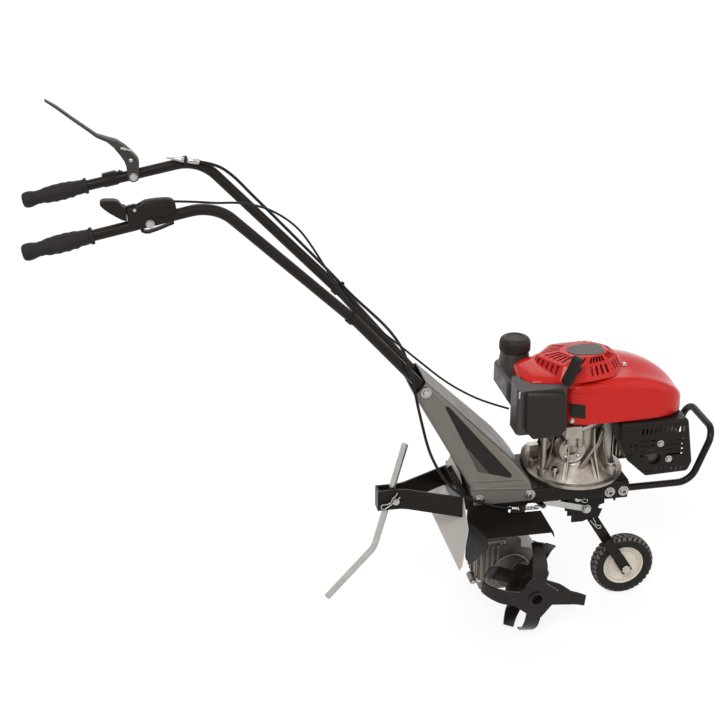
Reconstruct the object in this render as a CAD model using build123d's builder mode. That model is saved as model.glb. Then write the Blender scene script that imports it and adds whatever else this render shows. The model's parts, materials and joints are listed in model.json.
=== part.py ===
"""Petrol garden tiller with bent-blade tine stars, a front transport wheel and a drag bar.

Frame: +X forward, +Y to the operator's left, +Z up, millimetres.
The origin lies on the ground, in the middle of the machine's length and width.
"""
import os
from math import cos, hypot, radians, sin, tan

from build123d import *

os.makedirs("parts", exist_ok=True)

# Stance
axle_x = 306.0            # tine axle ahead of the middle of the machine
axle_z = 114.0            # tine axle above the ground
engine_ahead = 125.0      # crankshaft ahead of the tine axle
wheel_ahead = 262.0       # front wheel axle ahead of the tine axle
worm_behind = 66.0        # worm shaft behind the tine axle
run_gap = 0.3             # between round faces of different bodies
snug = 0.05               # radial fit of a shaft in its hole

# Engine deck, a channel of folded sheet
deck_top = 346.0
deck_sheet = 3.0
deck_half = 86.0
deck_depth = 34.0
deck_behind = 150.0
deck_ahead = 228.0
deck_bend = 5.0
rear_flange = 48.0
gear_plate_length = 104.0
crank_hole = 40.0

# Fasteners
bolt_r = 4.0
bolt_head_r = 7.5
bolt_head_h = 5.3
washer_r = 12.0
washer_h = 2.0

# Handle column, pressed sheet
column_sheet = 2.2
skirt_gap = 1.8
skirt_drop = 24.0
shoulder_rise = 19.0
column_rise = 254.0
column_head_half = 57.0
column_edge_radius = 9.0

# Handlebars
bar_r = 11.0
bar_wall = 1.6
grip_half = 157.0         # middle of each grip from the middle plane
bend_half = 151.0
knee_half = 79.0
foot_half = 36.0
grip_length = 133.0
grip_r = 16.0
grip_collar_r = 19.0

# Tines
tine_reach = 113.0
tine_sheet = 4.0
tine_width = 34.0
tine_tip_width = 24.0
star_plate = 84.0
outer_star_y = 165.0
inner_star_y = 95.0
outer_bend_radius = 70.0
outer_bend_angle = 75.0
outer_flare_angle = 35.0  # first blade of each outer star, which leans out instead
inner_bend_radius = 60.0
inner_bend_angle = 45.0
outer_phase = -6.0
inner_phase = 66.0
hub_r = 17.0
hub_start = 53.0
hub_joint = 130.0
hub_end = 172.0
axle_r = 12.0
axle_half = 150.0
socket_r = 12.5          # open end of each outer hub, for an added star
pin_r = 4.0

# Gear case
case_half = 38.0
case_wall = 5.0
case_wheel_r = 57.0
worm_wheel_r = 49.0
worm_wheel_half = 10.0
worm_teeth = 24
worm_shaft_r = 9.0
worm_r = 15.5
neck_r = 27.0
seal_r = 20.0

# Belt drive
belt_drop = 18.0
belt_half = 4.0
belt_thick = 7.0
driven_r = 62.0
drive_r = 30.0
pulley_half = 8.0
idler_r = 16.0
idler_pivot = (312.0, 12.0)
idler_place = (352.0, -13.0)
idler_cable = (336.0, -deck_half - 6.0)
arm_drop = 44.0
arm_sheet = 4.0

# Front wheel
tyre_r = 75.0
tyre_half = 18.0
rim_r = 49.0
rim_half = 13.0
wheel_bolt_r = 6.0
leg_pivot_back = 104.0
leg_pivot_z = 243.0
leg_width = 25.0
leg_wall = 3.0
fork_sheet = 4.0
fork_gap = 4.5
crown_up = 88.0
lug_sheet = 3.0
lug_gap = 0.5
pivot_r = 5.0

# Bumper bar
bumper_r = 8.0
bumper_wall = 2.0
bumper_half = 74.5
bumper_drop = 25.0
bumper_rise = 99.0
bumper_front = 732.0

# Guards
guard_sheet = 2.0
guard_half = 180.0
guard_top = 290.0
guard_front_ahead = 25.0
guard_rear_behind = 122.0
skirt_low = 216.0

# Drag bar
drag_r = 7.5
drag_top = (40.0, 443.0)
drag_bend = (-29.0, 187.0)
drag_tip = (-138.0, 68.0)
strap_low = 289.0
strap_high = 338.0
strap_sheet = 4.0
strap_root_half = 76.0
strap_clamp_half = 13.0
strap_end_x = -20.0

# Engine
flange_r = 110.0
barrel_r = 64.0
barrel_top = 478.0
crank_r = 11.0
cylinder_z = 430.0
cylinder_r = 34.0
fin_half = 46.0
fin_sheet = 2.5
fin_pitch = 9.0
fin_count = 7
cowl_r = 96.0
cowl_low = 500.0
cowl_high = 585.0
cowl_wall = 2.5
cowl_front_ahead = 226.0
dome_top = 660.0
flywheel_r = 78.0

engine_x = axle_x + engine_ahead
wheel_x = axle_x + wheel_ahead
worm_x = axle_x - worm_behind
deck_rear = axle_x - deck_behind
deck_front = axle_x + deck_ahead
deck_under = deck_top - deck_sheet
column_low = deck_top - skirt_drop
belt_z = deck_top - belt_drop
arm_z = deck_top - arm_drop
bumper_low = deck_top - bumper_drop
bumper_high = deck_top + bumper_rise
column_shoulder = deck_top + shoulder_rise
column_head = deck_top + column_rise
deck_low = deck_top - deck_depth
skirt_half = deck_half + skirt_gap + column_sheet
gear_plate_z = deck_low - deck_sheet


def save(builder, name):
    """Label a finished piece and write it as its own file."""
    builder.part.label = name
    export_step(builder.part, f"parts/{name}.step")


def side_plane(y=0.0):
    """Plane seen from the machine's right: sketch x is forward, sketch y is up."""
    return Plane((0, y, 0), x_dir=(1, 0, 0), z_dir=(0, -1, 0))


def rod(start, direction, radius, length, mode=Mode.ADD):
    """Round bar from a point along a direction."""
    with BuildSketch(Plane(start, z_dir=direction)) as section:
        Circle(radius)
    extrude(section.sketch, amount=length, mode=mode)


def hexagon(start, direction, radius, length, mode=Mode.ADD):
    """Six-sided bar from a point along a direction."""
    with BuildSketch(Plane(start, z_dir=direction)) as section:
        RegularPolygon(radius, 6)
    extrude(section.sketch, amount=length, mode=mode)


def block(x0, x1, y0, y1, z0, z1, mode=Mode.ADD):
    """Plate or bar between two corners."""
    with Locations(((x0 + x1) / 2, (y0 + y1) / 2, (z0 + z1) / 2)):
        Box(x1 - x0, y1 - y0, z1 - z0, mode=mode)


def bolt(seat, direction, grip, washer=washer_r):
    """Hex bolt with its washer on a seat, the shank running along the direction."""
    back = Vector(direction) * -1
    rod(seat, back, washer, washer_h)
    hexagon(Vector(seat) + back * washer_h, back, bolt_head_r, bolt_head_h)
    rod(seat, direction, bolt_r, grip)


def tube(points, radii, outer, wall=0.0):
    """Round tube, or bar when it has no wall, along straight runs joined by arcs."""
    with BuildLine() as path:
        FilletPolyline(*points, radius=radii)
    line = path.line
    with BuildSketch(Plane(origin=line @ 0, z_dir=line % 0)) as section:
        Circle(outer)
        if wall:
            Circle(outer - wall, mode=Mode.SUBTRACT)
    sweep(section.sketch, path=line)


def ring(start, direction, inner, outer, length):
    """Plain ring along a direction."""
    with BuildSketch(Plane(start, z_dir=direction)) as section:
        Circle(outer)
        Circle(inner, mode=Mode.SUBTRACT)
    extrude(section.sketch, amount=length)


def turned(centre, profile, mode=Mode.ADD):
    """Solid of revolution about the vertical through a point, from (radius, height) points."""
    plane = Plane((centre[0], centre[1], 0), x_dir=(1, 0, 0), z_dir=(0, -1, 0))
    with BuildSketch(plane) as section:
        with BuildLine():
            Polyline(*profile, close=True)
        make_face()
    revolve(section.sketch, axis=Axis((centre[0], centre[1], 0), (0, 0, 1)), mode=mode)


# Cable routes, corner by corner
cable_r = 2.5
deck_side = -deck_half
clutch_route = [
    (-373, 134, 1072), (-338, 131.5, 1066), (-303, 128, 1039), (-269, 122, 1000), (-233, 113, 962),
    (-197, 104, 923), (-163, 96, 886), (-128, 88, 848), (-97, 79, 813), (-70, 64, 783), (-39, 44, 755),
    (-5, 18, 725), (12, -12, 707), (23, -44, 690), (30, -70, 663), (37, -84, 629), (44, -90, 585),
    (55, deck_side - 8, 534), (68, deck_side - 12, 478), (86, deck_side - 15, 434), (108, deck_side - 17, 396),
    (136, deck_side - 18, 365), (168, deck_side - 17, 344), (203, deck_side - 14, 328), (234, deck_side - 10, 314),
    (262, deck_side - 7, 308),
]
throttle_route = [
    (-449, -151, 1085), (-407, -140, 1078), (-367, -127, 1068), (-331, -114, 1063), (-297, -104, 1054),
    (-261, -97, 1039), (-226, -92, 1015), (-198, -89, 987), (-174, -87, 949), (-152, -85, 910),
    (-129, -84, 869), (-102, -82, 822), (-63, -72, 779), (-23, -62, 740), (18, -53, 701), (66, -45, 654),
    (114, -41, 609), (161, -42, 576), (208, -46, 551), (258, -52, 534),
]
adjuster_r = 5.0
adjuster_thread_r = 3.2
upper_run = (Vector(*clutch_route[0]) - Vector(*clutch_route[1])).normalized()
lower_run = (Vector(*clutch_route[-1]) - Vector(*clutch_route[-2])).normalized()

# Engine deck with the gear case plate, the idler stud and the cable and brace tabs
bumper_bolts = [wheel_x - 77, wheel_x - 45]
column_bolts = [187.0, 303.0]
column_bolt_z = deck_top - 9
flange_bolt_ring = 92.0
gear_plate_rear = worm_x - 44
gear_plate_front = gear_plate_rear + gear_plate_length
tab_x = 280.0
pivot_x = wheel_x - leg_pivot_back
lug_inner = leg_width / 2 + lug_gap
lug_outer = lug_inner + lug_sheet
brace_rear = Vector(gear_plate_front - 8, 0, gear_plate_z - 17)
brace_front = Vector(pivot_x, 0, leg_pivot_z)
with BuildPart() as engine_deck:
    with BuildSketch(Plane.YZ.offset(deck_rear)):
        with Locations((0, deck_top - deck_depth / 2)):
            Rectangle(2 * deck_half, deck_depth)
        with Locations((0, deck_under - deck_depth / 2)):
            Rectangle(2 * (deck_half - deck_sheet), deck_depth, mode=Mode.SUBTRACT)
    extrude(amount=deck_front - deck_rear)
    top_edges = edges().filter_by(Axis.X).group_by(Axis.Z)[-1]
    fillet(top_edges, deck_bend)
    inner_half = deck_half - deck_sheet
    block(deck_rear, deck_rear + deck_sheet, -inner_half, inner_half, deck_top - rear_flange, deck_under)
    block(gear_plate_rear, gear_plate_front, -deck_half, deck_half, gear_plate_z, deck_low)
    rod((engine_x, 0, deck_under), (0, 0, 1), crank_hole, deck_sheet, Mode.SUBTRACT)
    rod((worm_x, 0, gear_plate_z), (0, 0, 1), worm_shaft_r + 4, deck_sheet, Mode.SUBTRACT)
    rod((*idler_pivot, arm_z - 2), (0, 0, 1), pivot_r, deck_under - arm_z + 2)
    block(tab_x, tab_x + deck_sheet, -deck_half - 14, -deck_half + deck_sheet, arm_z - 6, deck_low)
    rod(clutch_route[-1], lower_run, adjuster_thread_r + 0.2, 60, Mode.SUBTRACT)
    block(brace_rear.X - 8, brace_rear.X + 8, -lug_outer, -lug_outer + deck_sheet, brace_rear.Z - 9, gear_plate_z)
    rod((brace_rear.X, -40, brace_rear.Z), (0, 1, 0), bolt_r + 0.2, 40, Mode.SUBTRACT)
    with Locations((worm_x, 0, gear_plate_z)):
        with GridLocations(66, 70, 2, 2):
            Cylinder(bolt_r + 0.2, 4 * deck_sheet, mode=Mode.SUBTRACT)
    for x in bumper_bolts:
        rod((x, -deck_half, bumper_low), (0, 1, 0), bolt_r + 0.2, 2 * deck_half, Mode.SUBTRACT)
    for x in column_bolts:
        rod((x, -deck_half, column_bolt_z), (0, 1, 0), bolt_r + 0.2, 2 * deck_half, Mode.SUBTRACT)
    with Locations((engine_x, 0, deck_under)):
        with PolarLocations(flange_bolt_ring, 4, start_angle=45):
            Cylinder(bolt_r + 0.2, 4 * deck_sheet, mode=Mode.SUBTRACT)
save(engine_deck, "engine_deck")

# Handle column: side outline tapered towards the handlebars, hollow and open at both ends
column_rear = [(173, column_low - 8), (168, column_shoulder), (43, column_head - 9)]
column_front = [(67.4, column_head + 20.6), (255, column_shoulder + 67), (285, column_shoulder + 30),
                (306, column_shoulder), (318, column_low - 8)]
side_lean = skirt_half - column_head_half
side_rise = column_head - column_shoulder


def column_body(inset):
    """Solid column, drawn in from its outside by the inset."""
    with BuildPart() as body:
        with BuildSketch(side_plane()):
            with BuildLine():
                Polyline(*column_rear, *column_front, close=True)
            make_face()
            if inset:
                offset(amount=-inset, kind=Kind.INTERSECTION)
        extrude(amount=skirt_half - inset, both=True)
        for side in (-1, 1):
            leaning = Plane((0, side * (skirt_half - inset), column_shoulder), x_dir=(1, 0, 0),
                            z_dir=(0, side * side_rise, side_lean))
            split(bisect_by=leaning, keep=Keep.BOTTOM)
        corners = [edge for edge in edges() if abs((edge % 0.5).Z) > 0.5 and edge.center().Z < column_head - 40]
        fillet(corners, column_edge_radius - inset)
    return body.part


with BuildPart() as handle_column:
    add(column_body(0))
    add(column_body(column_sheet), mode=Mode.SUBTRACT)
    split(bisect_by=Plane.XY.offset(column_low), keep=Keep.TOP)
    block(100, 400, -skirt_half + column_sheet, skirt_half - column_sheet, column_low - 22, deck_top, Mode.SUBTRACT)
    split(bisect_by=Plane((60, 0, column_head - 0.5), z_dir=(-31, 0, 26)), keep=Keep.BOTTOM)
    for x in column_bolts:
        rod((x, -skirt_half - 1, column_bolt_z), (0, 1, 0), bolt_r + 0.2, 2 * skirt_half + 2, Mode.SUBTRACT)

# Handlebars: grip end, bend, knee and foot of each tube
bar_end = (-734.0, 1004.0)
bar_bend = (-372.0, 1073.0)
bar_knee = (-82.0, 776.0)
bar_foot = (84.0, 577.0)
bar_bend_radius = 90.0
bar_knee_radius = 150.0
foot_bolt_share = 0.92


def bar_points(side):
    """Corner points of one handlebar, on the left (1) or the right (-1)."""
    halves = (grip_half, bend_half, knee_half, foot_half)
    corners = (bar_end, bar_bend, bar_knee, bar_foot)
    return [Vector(x, side * half, z) for half, (x, z) in zip(halves, corners)]


def along_bar(side, corner, share):
    """Point part of the way from one corner of a handlebar to the next."""
    points = bar_points(side)
    return points[corner] + (points[corner + 1] - points[corner]) * share


foot_bolt = along_bar(1, 2, foot_bolt_share)
lever_bolt = along_bar(1, 0, 0.622)
throttle_bolt = along_bar(-1, 0, 0.655)
with BuildPart() as column_drilled:
    add(handle_column.part)
    rod((foot_bolt.X, -skirt_half, foot_bolt.Z), (0, 1, 0), bolt_r + 0.2, 2 * skirt_half, Mode.SUBTRACT)
save(column_drilled, "handle_column")

for side, name in ((1, "left"), (-1, "right")):
    with BuildPart() as handlebar:
        tube(bar_points(side), [bar_bend_radius, bar_knee_radius], bar_r, bar_wall)
        rod((foot_bolt.X, 0, foot_bolt.Z), (0, side, 0), bolt_r + 0.2, skirt_half, Mode.SUBTRACT)
        control = lever_bolt if side > 0 else throttle_bolt
        rod((control.X, 0, control.Z), (0, side, 0), bolt_r + 0.2, 2 * grip_half, Mode.SUBTRACT)
    save(handlebar, f"handlebar_{name}")

    # Grip: closed rear end, finger waves and a front collar
    with BuildPart() as grip:
        start = bar_points(side)[0]
        ahead = (bar_points(side)[1] - start).normalized()
        plane = Plane(start, x_dir=ahead, z_dir=(0, -1, 0))
        with BuildSketch(plane) as section:
            with BuildLine():
                wave = grip_length / 6
                Line((-4, 0), (-4, grip_r - 5))
                Line((-4, grip_r - 5), (0, grip_r))
                for number in range(5):
                    ThreePointArc((number * wave, grip_r), ((number + 0.5) * wave, grip_r - 1.8),
                                  ((number + 1) * wave, grip_r))
                Line((5 * wave, grip_r), (grip_length - 6, grip_r - 1))
                Line((grip_length - 6, grip_r - 1), (grip_length - 5, grip_collar_r))
                Line((grip_length - 5, grip_collar_r), (grip_length, grip_collar_r))
                Line((grip_length, grip_collar_r), (grip_length, bar_r + snug))
                Line((grip_length, bar_r + snug), (0, bar_r + snug))
                Line((0, bar_r + snug), (0, 0))
                Line((0, 0), (-4, 0))
            make_face()
        revolve(section.sketch, axis=Axis(start, ahead))
    save(grip, f"grip_{name}")

# Bolts that hold the handlebars, the lever and the throttle
with BuildPart() as handlebar_bolts:
    head_lean = (column_head - foot_bolt.Z + washer_r) * side_lean / side_rise
    seat_half = column_head_half + head_lean + 0.2
    bolt((foot_bolt.X, -seat_half, foot_bolt.Z), (0, 1, 0), 2 * seat_half + 8)
    hexagon((foot_bolt.X, seat_half, foot_bolt.Z), (0, 1, 0), bolt_head_r, bolt_head_h)
    lever_half = bar_r + 4.0
    for point in (lever_bolt, throttle_bolt):
        near = point.Y - lever_half
        bolt((point.X, near, point.Z), (0, 1, 0), 2 * lever_half + 7, bolt_head_r + 1)
        hexagon((point.X, near + 2 * lever_half + 0.4, point.Z), (0, 1, 0), bolt_head_r, bolt_head_h)
save(handlebar_bolts, "handlebar_bolts")

# Cable clips on the tubes, and the rubber stop under the clutch lever
clip_share = 0.955
clip_length = 14.0
with BuildPart() as cable_clips:
    for side in (1, -1):
        middle = along_bar(side, 1, clip_share)
        run = (along_bar(side, 1, 1.0) - along_bar(side, 1, 0.0)).normalized()
        ring(middle - run * clip_length / 2, run, bar_r + snug, bar_r + 2.6, clip_length)
    stop_start = along_bar(1, 0, 0.458)
    stop_run = (along_bar(1, 0, 1.0) - along_bar(1, 0, 0.0)).normalized()
    ring(stop_start, stop_run, bar_r + snug, bar_r + 2.6, 30.0)
    with BuildSketch(Plane(stop_start, x_dir=(0, 1, 0), z_dir=stop_run)) as pad:
        with Locations((0, bar_r + 5)):
            Rectangle(12, 8)
    extrude(pad.sketch, amount=30.0)
save(cable_clips, "cable_clips")

# Clutch lever: two ears round the tube, then a curved arm
ear_gap = bar_r + 0.6
ear_sheet = 3.0
with BuildPart() as clutch_lever:
    arm_plane = side_plane(lever_bolt.Y)
    with BuildSketch(arm_plane) as arm:
        with BuildLine():
            FilletPolyline((-506, 1078), (-512, 1100), (-530, 1115), (-560, 1121), (-673, 1210),
                           radius=[14, 18, 40])
        trace(line_width=8)
    extrude(arm.sketch, amount=9, both=True)
    with BuildSketch(arm_plane) as ear:
        with Locations((lever_bolt.X, lever_bolt.Z)):
            Circle(12)
        with BuildLine():
            Polyline((-521, lever_bolt.Z), (-497, lever_bolt.Z), (-495, 1082), (-514, 1104), (-524, 1098),
                     close=True)
        make_face()
    for side in (-1, 1):
        extrude(ear.sketch, amount=side * (ear_gap + ear_sheet))
    with BuildSketch(arm_plane) as gap:
        with Locations((lever_bolt.X, 1040)):
            Rectangle(60, 56)
    extrude(gap.sketch, amount=ear_gap, both=True, mode=Mode.SUBTRACT)
    rod((lever_bolt.X, lever_bolt.Y - 30, lever_bolt.Z), (0, 1, 0), bolt_r + snug, 60, Mode.SUBTRACT)
save(clutch_lever, "clutch_lever")

# Throttle housing on the right tube, with its clamp band
with BuildPart() as throttle_housing:
    with BuildSketch(side_plane(throttle_bolt.Y)) as outline:
        with BuildLine():
            Polyline((-530, 1052), (-538, 1066), (-533, 1086), (-514, 1093), (-476, 1103), (-450, 1099),
                     (-444, 1084), (-446, 1062), close=True)
        make_face()
        fillet(outline.vertices(), 5)
    extrude(outline.sketch, amount=13, both=True)
    band_run = (along_bar(-1, 0, 1.0) - along_bar(-1, 0, 0.0)).normalized()
    rod(along_bar(-1, 0, 0.62), band_run, bar_r + 3.4, 28)
    rod(along_bar(-1, 0, 0.3), band_run, bar_r + snug, 220, Mode.SUBTRACT)
    rod((throttle_bolt.X, throttle_bolt.Y - 30, throttle_bolt.Z), (0, 1, 0), bolt_r + 0.2, 60, Mode.SUBTRACT)
    slot_pivot = Vector(-524.0, throttle_bolt.Y - 4.4, 1076.0)
    rod(slot_pivot, (0, 1, 0), 13, 8.8, Mode.SUBTRACT)
    block(-560, slot_pivot.X, slot_pivot.Y, slot_pivot.Y + 8.8, slot_pivot.Z - 10, 1110, Mode.SUBTRACT)
    block(slot_pivot.X - 1, slot_pivot.X + 7, slot_pivot.Y, slot_pivot.Y + 8.8, slot_pivot.Z, 1110, Mode.SUBTRACT)
    rod(slot_pivot, (0, 1, 0), 3, 8.8)
    rod(throttle_route[0], Vector(*throttle_route[1]) - Vector(*throttle_route[0]), cable_r + 0.1, 30, Mode.SUBTRACT)
save(throttle_housing, "throttle_housing")

# Throttle thumb lever on the housing's pin
with BuildPart() as throttle_lever:
    lever_plane = side_plane(throttle_bolt.Y)
    with BuildSketch(lever_plane) as paddle:
        with Locations((slot_pivot.X, slot_pivot.Z)):
            Circle(9)
        with BuildLine():
            Polyline((-524, 1067), (-536, 1070), (-588, 1087), (-589, 1096), (-565, 1101), (-547, 1090),
                     (-524, 1085), close=True)
        make_face()
    extrude(paddle.sketch, amount=4, both=True)
    with BuildSketch(lever_plane) as pad:
        with BuildLine():
            Polyline((-552, 1076), (-588, 1087), (-589, 1096), (-565, 1101), (-552, 1094), close=True)
        make_face()
    extrude(pad.sketch, amount=10, both=True)
    rod(slot_pivot - Vector(0, 10, 0), (0, 1, 0), 3 + snug, 30, Mode.SUBTRACT)
save(throttle_lever, "throttle_lever")

# Cables along straight runs joined by arcs as large as the runs allow
def route_radii(points):
    """Largest arc at each corner of a route that its two runs leave room for."""
    radii = []
    for before, corner, after in zip(points, points[1:], points[2:]):
        first = Vector(*corner) - Vector(*before)
        second = Vector(*after) - Vector(*corner)
        turn = radians(first.get_angle(second))
        radii.append(0.45 * min(first.length, second.length) / tan(turn / 2))
    return radii


for name, route in (("clutch_cable", clutch_route), ("throttle_cable", throttle_route)):
    radii = route_radii(route)
    print(name, "arc radii", [round(radius) for radius in radii])
    with BuildPart() as cable:
        tube(route, radii, cable_r)
    save(cable, name)

# Threaded cable adjusters: one beside the left bar, one at the deck tab
with BuildPart() as cable_adjusters:
    rod(clutch_route[0], upper_run, adjuster_r, 26)
    rod(clutch_route[0], upper_run, adjuster_thread_r, 68)
    hexagon(Vector(*clutch_route[0]) + upper_run * 22, upper_run, adjuster_r + 1.5, 6)
    bar_here = along_bar(1, 0, 0.8)
    bar_run = (along_bar(1, 0, 1.0) - along_bar(1, 0, 0.0)).normalized()
    ring(bar_here, bar_run, bar_r + snug, bar_r + 2.4, 10)
    block(bar_here.X + 1, bar_here.X + 9, bar_here.Y - 16, bar_here.Y - 6.4, bar_here.Z + 11.5, bar_here.Z + 25)
    rod(clutch_route[-1], lower_run, adjuster_r, tab_x - clutch_route[-1][0] - 1.5)
    rod(clutch_route[-1], lower_run, adjuster_thread_r, 46)
save(cable_adjusters, "cable_adjusters")

# Bumper bar: a hoop from both sides of the deck
bumper_route = [(wheel_x - 88, -bumper_half, bumper_low), (wheel_x + 118, -bumper_half, bumper_low),
                (bumper_front, -bumper_half, bumper_high), (bumper_front, bumper_half, bumper_high),
                (wheel_x + 118, bumper_half, bumper_low), (wheel_x - 88, bumper_half, bumper_low)]
with BuildPart() as bumper_bar:
    tube(bumper_route, [45, 32, 32, 45], bumper_r, bumper_wall)
    for x in bumper_bolts:
        rod((x, -deck_half, bumper_low), (0, 1, 0), bolt_r + 0.2, 2 * deck_half, Mode.SUBTRACT)
save(bumper_bar, "bumper_bar")

# Tine guards: top plate with a raked rear edge, its flap, a front lip and the upstand on the deck's side
guard_front = axle_x + guard_front_ahead
guard_rear = axle_x - guard_rear_behind
guard_inner = deck_half + guard_sheet
flap_rear = deck_rear + 6
lip_drop = 12.0
for side, name in ((1, "left"), (-1, "right")):
    inner = Vector(flap_rear, side * deck_half, 0)
    outer = Vector(guard_rear, side * guard_half, 0)
    rake = (outer - inner).normalized()
    rake_length = (outer - inner).length
    with BuildPart() as tine_guard:
        with BuildSketch(Plane.XY.offset(guard_top - guard_sheet / 2)) as plate:
            with BuildLine():
                Polyline((inner.X, inner.Y), (outer.X, outer.Y), (guard_front, outer.Y), (guard_front, inner.Y), close=True)
            make_face()
        extrude(plate.sketch, amount=guard_sheet)
        upright = Plane((inner.X, inner.Y, 0), x_dir=rake, z_dir=rake.cross(Vector(0, 0, 1)))
        with BuildSketch(upright) as flap:
            with BuildLine():
                Polyline((0, guard_top), (rake_length, guard_top), (rake_length, guard_top - 26), (26, skirt_low - 30),
                         (0, skirt_low - 30), close=True)
            make_face()
            fillet(flap.vertices().sort_by(Axis.Z)[:3], 6)
        extrude(flap.sketch, amount=guard_sheet / 2, both=True)
        with BuildSketch(side_plane(side * deck_half)) as lip:
            with BuildLine():
                Polyline((guard_front - 1, guard_top), (guard_front, guard_top), (guard_front + 3, guard_top - lip_drop))
            trace(line_width=guard_sheet)
        extrude(lip.sketch, amount=-side * (guard_half - deck_half))
        upstand = sorted((side * deck_half, side * guard_inner))
        block(flap_rear, tab_x - 24, *upstand, guard_top, column_low - 1)
    save(tine_guard, f"tine_guard_{name}")

# Rear guard: a plate that widens downwards behind the tines
guard_x = deck_rear - guard_sheet / 2
rear_guard_top = deck_top + 35
with BuildPart() as rear_guard:
    with BuildSketch(side_plane(-guard_half)) as profile:
        with BuildLine():
            Polyline((guard_x - 32, skirt_low + 2), (guard_x, strap_low - 4), (guard_x, rear_guard_top))
        trace(line_width=guard_sheet)
    extrude(profile.sketch, amount=-2 * guard_half)
    for side in (-1, 1):
        with BuildSketch(Plane.YZ.offset(guard_x - 60)) as corner:
            with BuildLine():
                Polyline((side * 42, rear_guard_top), (side * 118, strap_low + 3), (side * (guard_half + 1), skirt_low + 12),
                         (side * (guard_half + 1), rear_guard_top + 9), (side * 42, rear_guard_top + 9), close=True)
            make_face()
        extrude(corner.sketch, amount=90, mode=Mode.SUBTRACT)
save(rear_guard, "rear_guard")

# Drag bracket: two straps from a root plate to the clamp
root_x = deck_rear - guard_sheet
drag_slope = (drag_top[0] - drag_bend[0]) / (drag_top[1] - drag_bend[1])
drag_run = Vector(drag_slope, 0, 1).normalized()
strap_middle = (strap_low + strap_high) / 2
bar_at_strap = Vector(drag_bend[0] + (strap_middle - drag_bend[1]) * drag_slope, 0, strap_middle)
pin_place = bar_at_strap + Vector(drag_run.Z, 0, -drag_run.X) * (drag_r + pin_r + run_gap)
with BuildPart() as drag_bracket:
    for side in (-1, 1):
        with BuildSketch(Plane.XY.offset(strap_low)) as strap:
            with BuildLine():
                FilletPolyline((root_x - 2, side * strap_root_half), (34, side * strap_clamp_half),
                               (strap_end_x, side * strap_clamp_half), radius=60)
            trace(line_width=strap_sheet)
        extrude(strap.sketch, amount=strap_high - strap_low)
    clamp_half = strap_clamp_half + strap_sheet / 2
    block(strap_end_x - strap_sheet, strap_end_x, -clamp_half, clamp_half, strap_low, strap_high)
    root_half = strap_root_half + 2
    block(root_x - strap_sheet, root_x, -root_half, root_half, strap_low, strap_high)
    rod((pin_place.X, -40, pin_place.Z), (0, 1, 0), pin_r + 0.2, 80, Mode.SUBTRACT)
save(drag_bracket, "drag_bracket")

with BuildPart() as drag_bar:
    tube([(drag_top[0], 0, drag_top[1]), (drag_bend[0], 0, drag_bend[1]), (drag_tip[0], 0, drag_tip[1])],
         55, drag_r)
    chamfer(edges().filter_by(GeomType.CIRCLE).group_by(SortBy.LENGTH)[-1], 1.2)
save(drag_bar, "drag_bar")

with BuildPart() as drag_bar_pin:
    rod((pin_place.X, -clamp_half - 6, pin_place.Z), (0, 1, 0), pin_r, 2 * clamp_half + 12)
    rod((pin_place.X, -clamp_half - 6, pin_place.Z), (0, 1, 0), pin_r + 4, 5)
save(drag_bar_pin, "drag_bar_pin")

# Wheel bracket under the front of the deck, with two lugs for the leg
with BuildPart() as wheel_bracket:
    block(pivot_x - 46, pivot_x + 42, -deck_half, deck_half, gear_plate_z, deck_low)
    block(pivot_x + 39, pivot_x + 42, -deck_half, deck_half, gear_plate_z - 12, gear_plate_z)
    for side in (-1, 1):
        with BuildSketch(side_plane(side * lug_inner)) as lug:
            with BuildLine():
                Polyline((pivot_x - 44, gear_plate_z), (pivot_x + 38, gear_plate_z), (pivot_x + 38, 262),
                         (pivot_x + 24, leg_pivot_z - 19), (pivot_x - 16, leg_pivot_z - 19),
                         (pivot_x - 44, 268), close=True)
            make_face()
            with Locations((pivot_x + 39, 281), (pivot_x + 34, 258)):
                Circle(6, mode=Mode.SUBTRACT)
        extrude(lug.sketch, amount=-side * lug_sheet)
    rod((pivot_x, -30, leg_pivot_z), (0, 1, 0), pivot_r + snug, 60, Mode.SUBTRACT)
    rod((pivot_x - 28, -30, 282), (0, 1, 0), pivot_r + snug, 60, Mode.SUBTRACT)
save(wheel_bracket, "wheel_bracket")

brace_sheet = 3.0
with BuildPart() as leg_pins:
    pin_seat = -lug_outer - brace_sheet
    rod((pivot_x, pin_seat, leg_pivot_z), (0, 1, 0), pivot_r, lug_outer - pin_seat + 9)
    rod((pivot_x, pin_seat, leg_pivot_z), (0, -1, 0), 11, 2)
    hexagon((pivot_x, pin_seat - 2, leg_pivot_z), (0, -1, 0), 8.5, 6)
    hexagon((pivot_x, lug_outer, leg_pivot_z), (0, 1, 0), 8.5, 6)
    rod((pivot_x - 28, -lug_outer - 12, 282), (0, 1, 0), pivot_r, 2 * lug_outer + 18)
    rod((pivot_x - 28, -lug_outer - 12, 282), (0, -1, 0), 7.5, 10)
save(leg_pins, "leg_pins")

# Bracket brace: a flat strip from the pivot bolt back to the deck tab
with BuildPart() as bracket_brace:
    lean = Plane(((brace_rear.X + brace_front.X) / 2, -lug_outer, (brace_rear.Z + brace_front.Z) / 2),
                 x_dir=(brace_front - brace_rear).normalized(), z_dir=(0, -1, 0))
    with BuildSketch(lean) as strip:
        SlotCenterToCenter((brace_front - brace_rear).length, 15)
    extrude(strip.sketch, amount=brace_sheet)
    rod((brace_front.X, -40, brace_front.Z), (0, 1, 0), pivot_r + snug, 40, Mode.SUBTRACT)
    rod((brace_rear.X, -40, brace_rear.Z), (0, 1, 0), bolt_r + 0.2, 40, Mode.SUBTRACT)
save(bracket_brace, "bracket_brace")

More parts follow.
